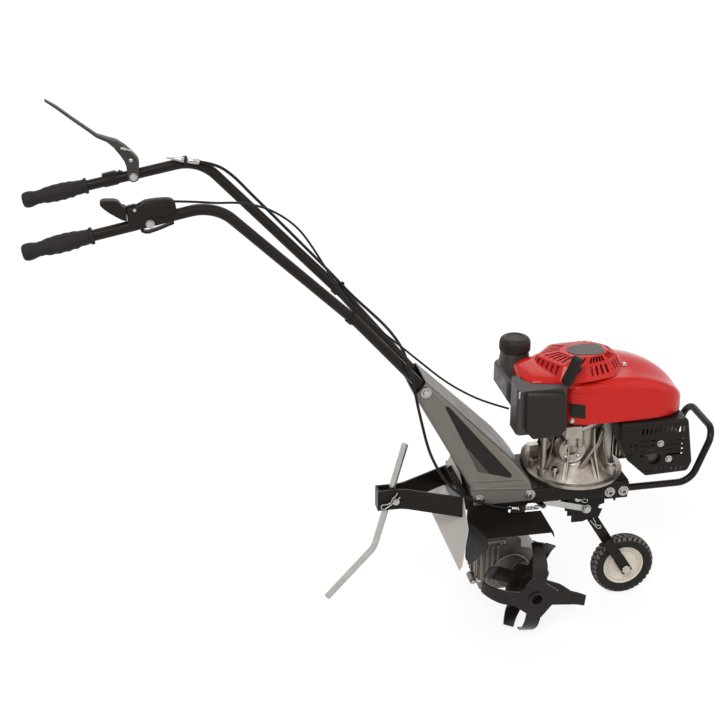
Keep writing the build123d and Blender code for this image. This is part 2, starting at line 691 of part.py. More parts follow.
# Wheel leg: square tube, crown and fork
leg_vector = Vector(wheel_x - pivot_x, 0, tyre_r - leg_pivot_z)
leg_length = leg_vector.length
leg_plane = Plane((pivot_x, 0, leg_pivot_z), x_dir=leg_vector.normalized(), z_dir=(0, -1, 0))
arm_inner = tyre_half + fork_gap
arm_outer = arm_inner + fork_sheet
with BuildPart() as wheel_leg:
    tube_length = leg_length - crown_up
    with BuildSketch(leg_plane) as beam:
        with Locations((tube_length / 2 - 7, 0)):
            Rectangle(tube_length + 14, leg_width)
    extrude(beam.sketch, amount=leg_width / 2, both=True)
    with BuildSketch(leg_plane) as hollow:
        with Locations((tube_length / 2 - 10, 0)):
            Rectangle(tube_length + 14, leg_width - 2 * leg_wall)
    extrude(hollow.sketch, amount=leg_width / 2 - leg_wall, both=True, mode=Mode.SUBTRACT)
    with BuildSketch(leg_plane) as crown:
        with Locations((tube_length, 0)):
            Rectangle(10, leg_width)
    extrude(crown.sketch, amount=arm_outer, both=True)
    for side in (-1, 1):
        arm_plane = leg_plane.offset(side * arm_inner)
        with BuildSketch(arm_plane) as arm:
            with Locations(((tube_length + leg_length) / 2, 0)):
                Rectangle(crown_up + 10, leg_width - 1)
            with Locations((leg_length, 0)):
                Circle(leg_width / 2 - 0.5)
        extrude(arm.sketch, amount=side * fork_sheet)
    rod((pivot_x, -30, leg_pivot_z), (0, 1, 0), pivot_r + snug, 60, Mode.SUBTRACT)
    rod((wheel_x, -40, tyre_r), (0, 1, 0), wheel_bolt_r + snug, 80, Mode.SUBTRACT)
save(wheel_leg, "wheel_leg")

with BuildPart() as wheel_axle_bolt:
    rod((wheel_x, -arm_outer, tyre_r), (0, 1, 0), wheel_bolt_r, 2 * arm_outer + 8)
    hexagon((wheel_x, -arm_outer, tyre_r), (0, -1, 0), 10.5, 7)
    hexagon((wheel_x, arm_outer, tyre_r), (0, 1, 0), 10.5, 7)
save(wheel_axle_bolt, "wheel_axle_bolt")

# Rim and tyre turned about the wheel axle
wheel_axis = Axis((wheel_x, 0, tyre_r), (0, 1, 0))
wheel_plane = Plane((wheel_x, 0, tyre_r), x_dir=(0, 1, 0), z_dir=(-1, 0, 0))
with BuildPart() as front_rim:
    with BuildSketch(wheel_plane) as section:
        with BuildLine():
            hub_half = arm_inner - 0.8
            Polyline((-hub_half, wheel_bolt_r + snug), (-hub_half, 14), (-8, 17), (-5, 38), (-rim_half, rim_r - 4),
                     (-rim_half, rim_r - snug), (rim_half, rim_r - snug), (rim_half, rim_r - 4), (5, 38),
                     (8, 17), (hub_half, 14), (hub_half, wheel_bolt_r + snug), close=True)
        make_face()
    revolve(section.sketch, axis=wheel_axis)
save(front_rim, "front_rim")

with BuildPart() as front_tyre:
    with BuildSketch(wheel_plane) as section:
        with BuildLine():
            Polyline((-rim_half, rim_r), (-tyre_half, rim_r + 4), (-tyre_half, tyre_r - 9), (-tyre_half + 5, tyre_r - 2),
                     (-6, tyre_r), (6, tyre_r), (tyre_half - 5, tyre_r - 2), (tyre_half, tyre_r - 9),
                     (tyre_half, rim_r + 4), (rim_half, rim_r), close=True)
        make_face()
    revolve(section.sketch, axis=wheel_axis)
    tread_count = 28
    with BuildSketch(side_plane(-tyre_half - 1)) as notches:
        with Locations((wheel_x, tyre_r)):
            with PolarLocations(tyre_r, tread_count):
                Rectangle(9, 5)
    extrude(notches.sketch, amount=-9, mode=Mode.SUBTRACT)
    with BuildSketch(side_plane(tyre_half + 1)) as notches:
        with Locations((wheel_x, tyre_r)):
            with PolarLocations(tyre_r, tread_count, start_angle=180 / tread_count):
                Rectangle(9, 5)
    extrude(notches.sketch, amount=9, mode=Mode.SUBTRACT)
save(front_tyre, "front_tyre")

# Gear case, made whole and parted down the middle
neck_top = gear_plate_z
flange_thick = 8.0
case_rear = worm_x - 32
case_low = axle_z - 48
case_high = 200.0
lug_places = [(case_rear - 6, case_low + 12), (case_rear - 6, case_high - 14)]
lug_half = 15.0
with BuildPart() as gear_case:
    with BuildSketch(side_plane()) as outline:
        with Locations((axle_x, axle_z)):
            Circle(case_wheel_r)
        with Locations(((case_rear + axle_x) / 2, (case_low + case_high) / 2)):
            RectangleRounded(axle_x - case_rear, case_high - case_low, 12)
    extrude(outline.sketch, amount=case_half, both=True)
    for x, z in lug_places:
        rod((x, -lug_half, z), (0, 1, 0), 8, 2 * lug_half)
    for y in (-30, -18, 18, 30):
        block(case_rear - 4, case_rear + 2, y - 2.5, y + 2.5, case_low + 20, case_high - 22)
    rod((axle_x, -hub_start + 5, axle_z), (0, 1, 0), axle_r + 12, 2 * (hub_start - 5))
    rod((worm_x, 0, case_high - 10), (0, 0, 1), neck_r, neck_top - case_high + 10)
    block(worm_x - 42, worm_x + 42, -44, 44, neck_top - flange_thick, neck_top)
    rod((axle_x, -worm_wheel_half - 3, axle_z), (0, 1, 0), case_wheel_r - case_wall, 2 * (worm_wheel_half + 3),
        Mode.SUBTRACT)
    rod((worm_x, 0, case_low + 14), (0, 0, 1), worm_r + 4, 110, Mode.SUBTRACT)
    rod((worm_x, 0, case_low + 6), (0, 0, 1), worm_shaft_r + snug, 300, Mode.SUBTRACT)
    rod((axle_x, -80, axle_z), (0, 1, 0), axle_r + snug, 160, Mode.SUBTRACT)
    for x, z in lug_places:
        rod((x, -30, z), (0, 1, 0), 3.2, 60, Mode.SUBTRACT)
    with Locations((worm_x, 0, neck_top)):
        with GridLocations(66, 70, 2, 2):
            Cylinder(bolt_r + 0.2, 3 * flange_thick, mode=Mode.SUBTRACT)
for keep, name in ((Keep.TOP, "right"), (Keep.BOTTOM, "left")):
    with BuildPart() as half:
        add(gear_case.part)
        split(bisect_by=Plane.XZ, keep=keep)
    save(half, f"gear_case_{name}")

with BuildPart() as axle_seals:
    for side in (-1, 1):
        ring((axle_x, side * (hub_start - 5), axle_z), (0, side, 0), axle_r + run_gap, seal_r, 4)
save(axle_seals, "axle_seals")

# Worm shaft with its worm, and the driven pulley on top
with BuildPart() as worm_shaft:
    rod((worm_x, 0, case_low + 8), (0, 0, 1), worm_shaft_r, belt_z + pulley_half + 3 - case_low - 8)
    for turn in range(5):
        turned((worm_x, 0), [(worm_shaft_r - 1, axle_z - 22 + turn * 9), (worm_r, axle_z - 19 + turn * 9),
                             (worm_r, axle_z - 17 + turn * 9), (worm_shaft_r - 1, axle_z - 14 + turn * 9)])
save(worm_shaft, "worm_shaft")


def pulley(centre, radius, bore):
    """V-belt pulley turned about the vertical at a point."""
    rim = pulley_half
    turned(centre, [(bore, belt_z - rim), (radius, belt_z - rim), (radius, belt_z - belt_half - 2.4),
                    (radius - belt_thick - 2, belt_z - belt_half - 0.6), (radius - belt_thick - 2, belt_z + belt_half + 0.6),
                    (radius, belt_z + belt_half + 2.4), (radius, belt_z + rim), (bore, belt_z + rim)])


with BuildPart() as driven_pulley:
    pulley((worm_x, 0), driven_r, worm_shaft_r + snug)
    with Locations((worm_x, 0, belt_z)):
        with PolarLocations(32, 5):
            Cylinder(9, 4 * pulley_half, mode=Mode.SUBTRACT)
save(driven_pulley, "driven_pulley")

with BuildPart() as drive_pulley:
    pulley((engine_x, 0), drive_r, crank_r + snug)
save(drive_pulley, "drive_pulley")

with BuildPart() as drive_belt:
    for depth, mode in ((0.5, Mode.ADD), (0.5 + belt_thick, Mode.SUBTRACT)):
        with BuildSketch(Plane.XY.offset(belt_z - belt_half)) as loop:
            with Locations((worm_x, 0)):
                Circle(driven_r - depth)
            with Locations((engine_x, 0)):
                Circle(drive_r - depth)
            make_hull()
        extrude(loop.sketch, amount=2 * belt_half, mode=mode)
save(drive_belt, "drive_belt")

# Idler arm under the belt, with the stub for its pulley
with BuildPart() as idler_arm:
    for far, radius in ((idler_place, 9), (idler_cable, 6)):
        with BuildSketch(Plane.XY.offset(arm_z)) as limb:
            with Locations(idler_pivot):
                Circle(11)
            with Locations(far):
                Circle(radius)
            make_hull()
        extrude(limb.sketch, amount=arm_sheet)
    rod((*idler_place, arm_z), (0, 0, 1), 4, belt_z - arm_z + 9)
    rod((*idler_place, arm_z), (0, 0, 1), 7, belt_z - 6.5 - arm_z)
    rod((*idler_pivot, arm_z), (0, 0, 1), pivot_r + snug, arm_sheet, Mode.SUBTRACT)
    rod((*idler_cable, arm_z), (0, 0, 1), 2, arm_sheet, Mode.SUBTRACT)
save(idler_arm, "idler_arm")

with BuildPart() as idler_pulley:
    ring((*idler_place, belt_z - 6), (0, 0, 1), 4 + snug, idler_r, 12)
save(idler_pulley, "idler_pulley")

# Worm wheel, tine axle and pins
with BuildPart() as worm_wheel:
    with BuildSketch(side_plane()) as teeth:
        with Locations((axle_x, axle_z)):
            Circle(worm_wheel_r - 5)
            with PolarLocations(worm_wheel_r - 3, worm_teeth):
                Trapezoid(6.4, 6, 70, rotation=-90)
            Circle(axle_r + snug, mode=Mode.SUBTRACT)
    extrude(teeth.sketch, amount=worm_wheel_half, both=True)
save(worm_wheel, "worm_wheel")

pin_stations = [-124.0 - 10, -64.0, 64.0, 124.0 + 10]
with BuildPart() as tine_axle:
    rod((axle_x, -axle_half, axle_z), (0, 1, 0), axle_r, 2 * axle_half)
    for y in pin_stations:
        rod((axle_x, y, axle_z - 30), (0, 0, 1), pin_r + snug, 60, Mode.SUBTRACT)
save(tine_axle, "tine_axle")

with BuildPart() as tine_pins:
    for y in pin_stations:
        rod((axle_x, y, axle_z - hub_r - 4), (0, 0, 1), pin_r, 2 * hub_r + 8)
save(tine_pins, "tine_pins")


def tine_star(plate_y, hub_from, hub_to, bend_radius, bend_angle, flare_angle, phase, toward):
    """Star of four blades that bend along Y, the first one by its own angle, on a length of hub tube."""
    rod((axle_x, hub_from, axle_z), (0, 1 if hub_to > hub_from else -1, 0), hub_r, abs(hub_to - hub_from))
    with BuildSketch(side_plane(plate_y - tine_sheet / 2)) as plate:
        with Locations((axle_x, axle_z)):
            RectangleRounded(star_plate, star_plate, 14, rotation=45 - phase)
    extrude(plate.sketch, amount=-tine_sheet)
    for number in range(4):
        angle = radians(phase + 90 * number)
        outward = Vector(cos(angle), 0, sin(angle))
        turn = flare_angle if number == 0 else bend_angle
        way = toward if turn > 0 else -toward
        flat = tine_reach - tine_sheet / 2 - bend_radius * sin(radians(abs(turn)))
        across = outward.cross(Vector(0, way, 0))
        blade_plane = Plane((axle_x, plate_y, axle_z), x_dir=outward, z_dir=across)
        with BuildSketch(blade_plane) as blade:
            with BuildLine():
                straight = Line((hub_r - 3, 0), (flat, 0))
                JernArc(straight @ 1, straight % 1, bend_radius, abs(turn))
            trace(line_width=tine_sheet)
        extrude(blade.sketch, amount=tine_width / 2, both=True)
        tip_plane = Plane((axle_x, plate_y - way * tine_sheet, axle_z), x_dir=outward, z_dir=(0, way, 0))
        with BuildSketch(tip_plane) as tip:
            for edge in (-1, 1):
                with BuildLine():
                    Polyline((tine_reach - 34, edge * tine_width / 2), (tine_reach + 2, edge * tine_tip_width / 2),
                             (tine_reach + 2, edge * tine_width), (tine_reach - 34, edge * tine_width), close=True)
                make_face()
        extrude(tip.sketch, amount=bend_radius, mode=Mode.SUBTRACT)


outer_bend = (outer_bend_radius, outer_bend_angle, -outer_flare_angle, outer_phase)
inner_bend = (inner_bend_radius, inner_bend_angle, inner_bend_angle, inner_phase)
star_layout = [
    ("right_outer", -outer_star_y, -hub_joint - run_gap, -hub_end, *outer_bend, 1),
    ("right_inner", -inner_star_y, -hub_start, -hub_joint, *inner_bend, -1),
    ("left_inner", inner_star_y, hub_start, hub_joint, *inner_bend, 1),
    ("left_outer", outer_star_y, hub_joint + run_gap, hub_end, *outer_bend, -1),
]
for name, *layout in star_layout:
    with BuildPart() as star:
        tine_star(*layout)
        rod((axle_x, -200, axle_z), (0, 1, 0), axle_r + snug, 400, Mode.SUBTRACT)
        for side in (-1, 1):
            rod((axle_x, side * axle_half, axle_z), (0, side, 0), socket_r, 60, Mode.SUBTRACT)
        for y in pin_stations:
            rod((axle_x, y, axle_z - 30), (0, 0, 1), pin_r + snug, 60, Mode.SUBTRACT)
    save(star, f"tine_star_{name}")

# Crankcase: round flange, ribbed cone, barrel and the cylinder pad
pad_ahead = 70.0
pad_half = 48.0
gusset_count = 8
gusset_start = 14.0
gusset_foot = 12.0
gusset_sheet = 6.0
filter_low = cowl_low - 10
boss_high = deck_top + 32
with BuildPart() as crankcase:
    turned((engine_x, 0), [(crank_r + snug, deck_top), (flange_r, deck_top), (flange_r, deck_top + 6),
                           (flange_r - 8, deck_top + 10), (70, deck_top + 40), (barrel_r, deck_top + 48),
                           (barrel_r, barrel_top), (crank_r + snug, barrel_top)])
    for number in range(1, gusset_count - 1):
        turn = radians(gusset_start + 360 / gusset_count * number)
        upright = Plane((engine_x, 0, 0), x_dir=(cos(turn), sin(turn), 0), z_dir=(sin(turn), -cos(turn), 0))
        with BuildSketch(upright) as gusset:
            with BuildLine():
                Polyline((barrel_r - 4, deck_top + 82), (flange_r - gusset_foot, deck_top + 12),
                         (flange_r - gusset_foot, deck_top + 6), (barrel_r - 4, deck_top + 6), close=True)
            make_face()
        extrude(gusset.sketch, amount=gusset_sheet / 2, both=True)
    rod((engine_x - 84, -40, deck_top + 4), (0, 0, 1), 7, filter_low - deck_top - 4)
    rod((engine_x - 84, -40, deck_top + 4), (0, 0, 1), 12, 24)
    block(engine_x + 20, engine_x + pad_ahead, -pad_half, pad_half, cylinder_z - pad_half, cylinder_z + 46)
    with Locations((engine_x, 0, (deck_top + boss_high) / 2)):
        with PolarLocations(flange_bolt_ring, 4, start_angle=45):
            Cylinder(10, boss_high - deck_top)
    with Locations((engine_x, 0, deck_top)):
        with PolarLocations(flange_bolt_ring, 4, start_angle=45):
            Cylinder(bolt_r + 0.2, 90, mode=Mode.SUBTRACT)
save(crankcase, "crankcase")

# Cylinder with cooling fins, head and rocker cover
cylinder_rear = engine_x + pad_ahead
head_rear = cylinder_rear + fin_pitch * fin_count + 4
with BuildPart() as cylinder:
    rod((cylinder_rear, 0, cylinder_z), (1, 0, 0), cylinder_r, head_rear - cylinder_rear + 5)
    for number in range(fin_count):
        fin_x = cylinder_rear + 4 + number * fin_pitch
        with BuildSketch(Plane.YZ.offset(fin_x)) as fin:
            with Locations((0, cylinder_z)):
                RectangleRounded(2 * fin_half, 2 * fin_half - 2, 8)
        extrude(fin.sketch, amount=fin_sheet)
    with BuildSketch(Plane.YZ.offset(head_rear)) as head_block:
        with Locations((0, cylinder_z)):
            RectangleRounded(2 * fin_half, 2 * fin_half - 4, 8)
    extrude(head_block.sketch, amount=26)
    with BuildSketch(Plane.YZ.offset(head_rear + 26)) as cover:
        with Locations((0, cylinder_z)):
            RectangleRounded(2 * fin_half - 18, 2 * fin_half - 22, 10)
    extrude(cover.sketch, amount=18)
save(cylinder, "cylinder")

# Crankshaft and flywheel with its fan
flywheel_low = cowl_low + 8
flywheel_high = cowl_low + 30
with BuildPart() as crankshaft:
    rod((engine_x, 0, belt_z - pulley_half - 4), (0, 0, 1), crank_r, flywheel_low - belt_z + pulley_half + 4)
    rod((engine_x, 0, flywheel_low), (0, 0, 1), crank_r - 2, flywheel_high - flywheel_low + 12)
    ring((engine_x, 0, belt_z - pulley_half - 4), (0, 0, 1), crank_r - 1, crank_r + 4, 3.8)
save(crankshaft, "crankshaft")

with BuildPart() as flywheel:
    turned((engine_x, 0), [(crank_r - 2 + snug, flywheel_low), (flywheel_r, flywheel_low), (flywheel_r, flywheel_low + 14),
                           (flywheel_r - 26, flywheel_high), (crank_r - 2 + snug, flywheel_high)])
    with Locations((engine_x, 0, flywheel_low + 26)):
        with PolarLocations(flywheel_r - 16, 12):
            Box(26, 4, 26)
save(flywheel, "flywheel")

# Blower housing: round over the fan, with an arched hump that falls to a rounded nose
cowl_stations = [(0, 96, 580, 612), (58, 96, 582, 613), (110, 95, 579, 608), (160, 91, 566, 592),
                 (196, 80, 550, 570), (217, 62, 534, 548), (226, 44, 522, 531)]
arch_share = 0.72         # where the arch turns from its shoulder to its crown


def arch(x, half, low, shoulder, crown, middle=0.0):
    """Arched section across the machine: upright sides under a rounded top."""
    rise = shoulder + 0.62 * (crown - shoulder)
    with BuildSketch(Plane((x, 0, 0), x_dir=(0, 1, 0), z_dir=(1, 0, 0))) as section:
        with BuildLine():
            Line((middle - half, low), (middle + half, low))
            Line((middle + half, low), (middle + half, shoulder))
            Spline((middle + half, shoulder), (middle + arch_share * half, rise), (middle, crown),
                   (middle - arch_share * half, rise), (middle - half, shoulder),
                   tangents=((-0.35, 1), (-0.35, -1)))
            Line((middle - half, shoulder), (middle - half, low))
        make_face()
    return section.sketch


def cowl_body(inset):
    """Solid blower housing, drawn in from the outside by the inset and sunk below its rim."""
    floor = cowl_low - 2 * inset
    sections = []
    for ahead, half, shoulder, crown in cowl_stations:
        back = inset if ahead == cowl_front_ahead else 0
        sections.append(arch(engine_x + ahead - back, half - inset, floor, shoulder - inset, crown - inset))
    with BuildPart() as body:
        loft(sections=sections)
        rod((engine_x, 0, floor), (0, 0, 1), cowl_r - inset, cowl_high - inset - floor)
    return body.part


# Recoil cover: six-sided slotted dome in two tiers, with the rear hood over the air filter
dome_low = cowl_high + 1
dome_middle = engine_x - 14
dome_tiers = [(112, 95, dome_low), (94, 80, dome_low + 52), (66, 56, dome_top)]
dome_turn = 11.0
dome_wall = 2.5
hood_middle = -22.0
hood_low = cowl_high + 12
hood_stations = [(-150, 34, 604, 619), (-136, 48, 610, 633), (-101, 58, 617, 645), (-51, 64, 621, 651),
                 (-10, 62, 622, 652)]
slot_width = 5.0
slot_pitch = 11.0


def dome_corner(number, tier, inset=0.0):
    """Corner of the dome's six-sided outline on one tier."""
    long_r, short_r, z = dome_tiers[tier]
    angle = radians(dome_turn + 60 * number)
    return Vector(dome_middle + (long_r - inset) * cos(angle), (short_r - inset) * sin(angle), z)


def dome_section(tier, inset, drop):
    """Rounded six-sided section of the dome, lowered by the drop."""
    corners = [dome_corner(number, tier, inset) for number in range(6)]
    with BuildSketch(Plane.XY.offset(dome_tiers[tier][2] - drop)) as section:
        with BuildLine():
            Polyline(*[(corner.X, corner.Y) for corner in corners], close=True)
        make_face()
        fillet(section.vertices(), 0.2 * dome_tiers[tier][1])
    return section.sketch


def cover_body(inset):
    """Solid dome and hood, drawn in from the outside by the inset and sunk below the rim."""
    sink = 4 * inset
    with BuildPart() as body:
        loft(sections=[dome_section(0, inset, sink), dome_section(1, inset, 0), dome_section(2, inset, inset)],
             ruled=True)
        fillet(faces().sort_by(Axis.Z)[-1].edges(), 6 - inset)
        sections = []
        for ahead, half, shoulder, crown in hood_stations:
            back = inset if ahead == hood_stations[0][0] else 0
            sections.append(arch(engine_x + ahead + back, half - inset, hood_low - sink, shoulder - inset,
                                 crown - inset, hood_middle))
        loft(sections=sections)
    return body.part


cover_solid = cover_body(0)
with BuildPart() as blower_housing:
    add(cowl_body(0))
    add(cowl_body(cowl_wall), mode=Mode.SUBTRACT)
    add(cover_solid, mode=Mode.SUBTRACT)
    rod((engine_x, 0, cowl_high - 20), (0, 0, 1), flywheel_r - 10, 40, Mode.SUBTRACT)
save(blower_housing, "blower_housing")

with BuildPart() as recoil_cover:
    add(cover_solid)
    add(cover_body(dome_wall), mode=Mode.SUBTRACT)
    for number in range(6):
        for tier, count, length, depth in ((0, 4, 20, 14), (1, 5, 17, 16)):
            low = (dome_corner(number, tier) + dome_corner(number + 1, tier)) * 0.5
            high = (dome_corner(number, tier + 1) + dome_corner(number + 1, tier + 1)) * 0.5
            along = (dome_corner(number + 1, tier) - dome_corner(number, tier)).normalized()
            outward = along.cross(high - low).normalized()
            share = 0.74 if number == 3 and tier == 0 else 0.5
            with BuildSketch(Plane(low + (high - low) * share, x_dir=along, z_dir=outward)) as vents:
                with GridLocations(slot_pitch, 1, count, 1):
                    SlotOverall(length if share == 0.5 else 0.6 * length, slot_width, rotation=90)
            extrude(vents.sketch, amount=depth, both=True, mode=Mode.SUBTRACT)

# Starter handle: a grip bar on a stem, with the first stretch of its rope inside the cover
starter_run = Vector(-0.62, -0.76, 0.19).normalized()
starter_exit = Vector(engine_x - 30, -76, dome_low + 43)
handle_lean = Vector(0.36, 0.0, 0.93).normalized()
rope_r = 2.0
with BuildPart() as starter_handle:
    handle_middle = starter_exit + starter_run * 32 + handle_lean * 4
    handle_plane = Plane(handle_middle - handle_lean * 33, x_dir=starter_run.cross(handle_lean), z_dir=handle_lean)
    with BuildSketch(handle_plane) as section:
        RectangleRounded(16, 18, 6)
    extrude(section.sketch, amount=66)
    rod(starter_exit + starter_run * 20, starter_run, 6, 8)
    rod(starter_exit - starter_run * 100, starter_run, rope_r, 124)
save(starter_handle, "starter_handle")

# Cover with the rope's hole through it
with BuildPart() as recoil_drilled:
    add(recoil_cover.part)
    rod(starter_exit - starter_run * 60, starter_run, rope_r + snug, 80, Mode.SUBTRACT)
save(recoil_drilled, "recoil_cover")

# Air filter case with its cover, beside the rear of the cowl and under the hood
filter_high = hood_low + 7
filter_face = -98.0
filter_back = -36.0
filter_rear = engine_x - 167
filter_front = engine_x - 55
cover_depth = 20.0
with BuildPart() as air_filter_case:
    block(filter_rear, filter_front, filter_face, filter_back, filter_low, filter_high)
    fillet(edges().filter_by(Axis.Z), 10)
    sloping = Plane((0, filter_face, filter_high - 9), x_dir=(1, 0, 0), z_dir=(0, -0.23, 0.97))
    split(bisect_by=sloping, keep=Keep.BOTTOM)
    add(cover_solid, mode=Mode.SUBTRACT)
    rod((engine_x, 0, filter_low - 1), (0, 0, 1), cowl_r + run_gap, 200, Mode.SUBTRACT)
save(air_filter_case, "air_filter_case")

with BuildPart() as air_filter_cover:
    with BuildSketch(side_plane(filter_face)) as outline:
        with BuildLine():
            Polyline((filter_rear + 14, filter_high - 11), (filter_front - 8, filter_high - 17),
                     (filter_front - 5, filter_low + 16), (filter_front - 18, filter_low - 2),
                     (filter_rear + 32, filter_low - 4), (filter_rear + 16, filter_low + 15), close=True)
        make_face()
        fillet(outline.vertices(), 8)
    extrude(outline.sketch, amount=cover_depth)
    fillet(faces().sort_by(Axis.Y)[0].edges(), 6)
save(air_filter_cover, "air_filter_cover")

# Fuel tank behind the cowl, with its raised filler, neck and cap
tank_neck = (engine_x - 128, 68.0)
tank_rear = engine_x - 168
tank_low = cowl_low + 2
tank_high = cowl_high - 1
filler_high = cowl_high + 33
neck_inner_r = 22.0
with BuildPart() as fuel_tank:
    block(tank_rear, engine_x - 70, -32, 108, tank_low, tank_high)
    fillet(edges().filter_by(Axis.Z), 22)
    fillet(edges().group_by(Axis.Z)[-1], 8)
    with BuildSketch(side_plane(-40)) as undercut:
        with BuildLine():
            Polyline((tank_rear - 1, tank_low + 38), (tank_rear - 1, tank_low - 1), (tank_rear + 24, tank_low - 1),
                     close=True)
        make_face()
    extrude(undercut.sketch, amount=-160, mode=Mode.SUBTRACT)
    rod((engine_x, 0, tank_low - 1), (0, 0, 1), cowl_r + run_gap, 120, Mode.SUBTRACT)
    turned(tank_neck, [(0, tank_high - 12), (39, tank_high - 12), (34, tank_high + 14), (31, filler_high),
                       (neck_inner_r, filler_high), (neck_inner_r, filler_high + 17), (0, filler_high + 17)])
    add(cover_solid, mode=Mode.SUBTRACT)
save(fuel_tank, "fuel_tank")

cap_r = 35.0
with BuildPart() as fuel_cap:
    cap_low = filler_high + 1
    ring((*tank_neck, cap_low), (0, 0, 1), neck_inner_r + run_gap, cap_r, 18)
    rod((*tank_neck, filler_high + 17.3), (0, 0, 1), cap_r, 15)
    fillet(faces().sort_by(Axis.Z)[-1].edges(), 9)
    with BuildSketch(Plane.XY.offset(cap_low)) as grooves:
        with Locations(tank_neck):
            with PolarLocations(cap_r + 1.5, 18):
                Circle(3)
    extrude(grooves.sketch, amount=21, mode=Mode.SUBTRACT)
save(fuel_cap, "fuel_cap")

# Carburettor with its intake pipe to the cylinder
with BuildPart() as carburettor:
    block(filter_front, filter_front + 35, filter_face, -70, cowl_low - 30, cowl_low - 2)
    rod((filter_front + 17, -84, cowl_low - 48), (0, 0, 1), 13, 20)
    port_high = cylinder_z + fin_half - 0.8
    pipe_z = cowl_low - 12
    tube([(filter_front + 34, -84, pipe_z - 4), (engine_x + 21, -66, pipe_z), (cylinder_rear + 20, -30, pipe_z),
          (cylinder_rear + 20, -30, port_high)], [25, 10], 8, 2)
save(carburettor, "carburettor")

# Muffler and its slotted guard on the right of the cylinder
guard_left = engine_x + 69
guard_right = engine_x + 243
guard_low = deck_top + 15
guard_high = cowl_low - 4
guard_near = -104.0
guard_far = -52.0
guard_wall = 2.0
with BuildPart() as muffler:
    block(guard_left + 54, guard_right - 26, guard_near + 10, guard_far - 6, guard_low + 18, guard_high - 34)
    fillet(edges().filter_by(Axis.Y), 16)
    rod((head_rear + 13, guard_far - 8, cylinder_z), (0, 1, 0), 13, -fin_half - guard_far + 8)
save(muffler, "muffler")

with BuildPart() as muffler_guard:
    with BuildSketch(side_plane(guard_far)) as outline:
        with BuildLine():
            Polyline((guard_left, guard_high), (guard_right - 17, guard_high), (guard_right, guard_low + 26),
                     (guard_right - 9, guard_low + 3), (guard_left + 66, guard_low), (guard_left + 22, guard_low + 42),
                     (guard_left, guard_low + 94), close=True)
        make_face()
        fillet(outline.vertices(), 11)
    extrude(outline.sketch, amount=guard_far - guard_near)
    fillet(faces().sort_by(Axis.Y)[0].edges(), 7)
    offset(amount=-guard_wall, openings=[faces().sort_by(Axis.Y)[-1]])
    with BuildSketch(side_plane(guard_near - 1)) as slots:
        with Locations((guard_left + 99, guard_high - 23)):
            with GridLocations(9.6, 1, 11, 1):
                SlotOverall(16, 4.5, rotation=90)
        for x, z, length, count in ((guard_left + 65, guard_high - 64, 34, 4), (guard_right - 44, guard_high - 66, 42, 4),
                                    (guard_left + 30, guard_high - 66, 18, 3)):
            with Locations((x, z)):
                with GridLocations(1, 12, 1, count):
                    SlotOverall(length, 4.5)
        with Locations((guard_left + 82, guard_low + 43)):
            Circle(15)
    extrude(slots.sketch, amount=-8, mode=Mode.SUBTRACT)
    with BuildSketch(side_plane(guard_near - 1)) as feet:
        with Locations((guard_left + 106, guard_low + 14)):
            with GridLocations(12, 1, 8, 1):
                SlotOverall(9, 5.5, rotation=70)
    extrude(feet.sketch, amount=-8, mode=Mode.SUBTRACT)
    for x in (cylinder_rear + 36, cylinder_rear + 92):
        block(x - 7, x + 7, guard_far - 4, -fin_half + 10, cylinder_z + fin_half - 0.7, cylinder_z + fin_half + 2)
        block(x - 7, x + 7, guard_far - 4, guard_far - 4 + guard_wall, cylinder_z + fin_half - 0.7, guard_high)
save(muffler_guard, "muffler_guard")

# Engine bolts through the flange, and screws of the guard
with BuildPart() as engine_bolts:
    for number in range(4):
        angle = radians(45 + 90 * number)
        x = engine_x + flange_bolt_ring * cos(angle)
        y = flange_bolt_ring * sin(angle)
        bolt((x, y, boss_high), (0, 0, -1), boss_high - deck_under + 2, bolt_head_r + 1)
save(engine_bolts, "engine_bolts")

# Frame bolts: bumper, column foot, gear case flange, case lugs and brace
with BuildPart() as frame_bolts:
    for side in (-1, 1):
        for x in bumper_bolts:
            bolt((x, side * deck_half, bumper_low), (0, -side, 0), deck_sheet + 2 * bumper_r + 4)
        for x in column_bolts:
            bolt((x, side * skirt_half, column_bolt_z), (0, -side, 0), skirt_half - deck_half + deck_sheet + 5)
    for x in (-33, 33):
        for y in (-35, 35):
            bolt((worm_x + x, y, neck_top - flange_thick), (0, 0, 1), flange_thick + deck_sheet + 3, bolt_head_r + 1)
    bolt((brace_rear.X, -lug_outer - brace_sheet, brace_rear.Z), (0, 1, 0), brace_sheet + deck_sheet + 6,
         bolt_head_r + 1)
    for x, z in lug_places:
        rod((x, -lug_half - 4, z), (0, 1, 0), 3, 2 * lug_half + 10)
        hexagon((x, -lug_half, z), (0, -1, 0), 5.5, 5)
        hexagon((x, lug_half, z), (0, 1, 0), 5.5, 5)
save(frame_bolts, "frame_bolts")
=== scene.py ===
"""Finishes, fine detail and studio stage for a petrol garden tiller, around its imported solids."""
import json
import math
from itertools import product

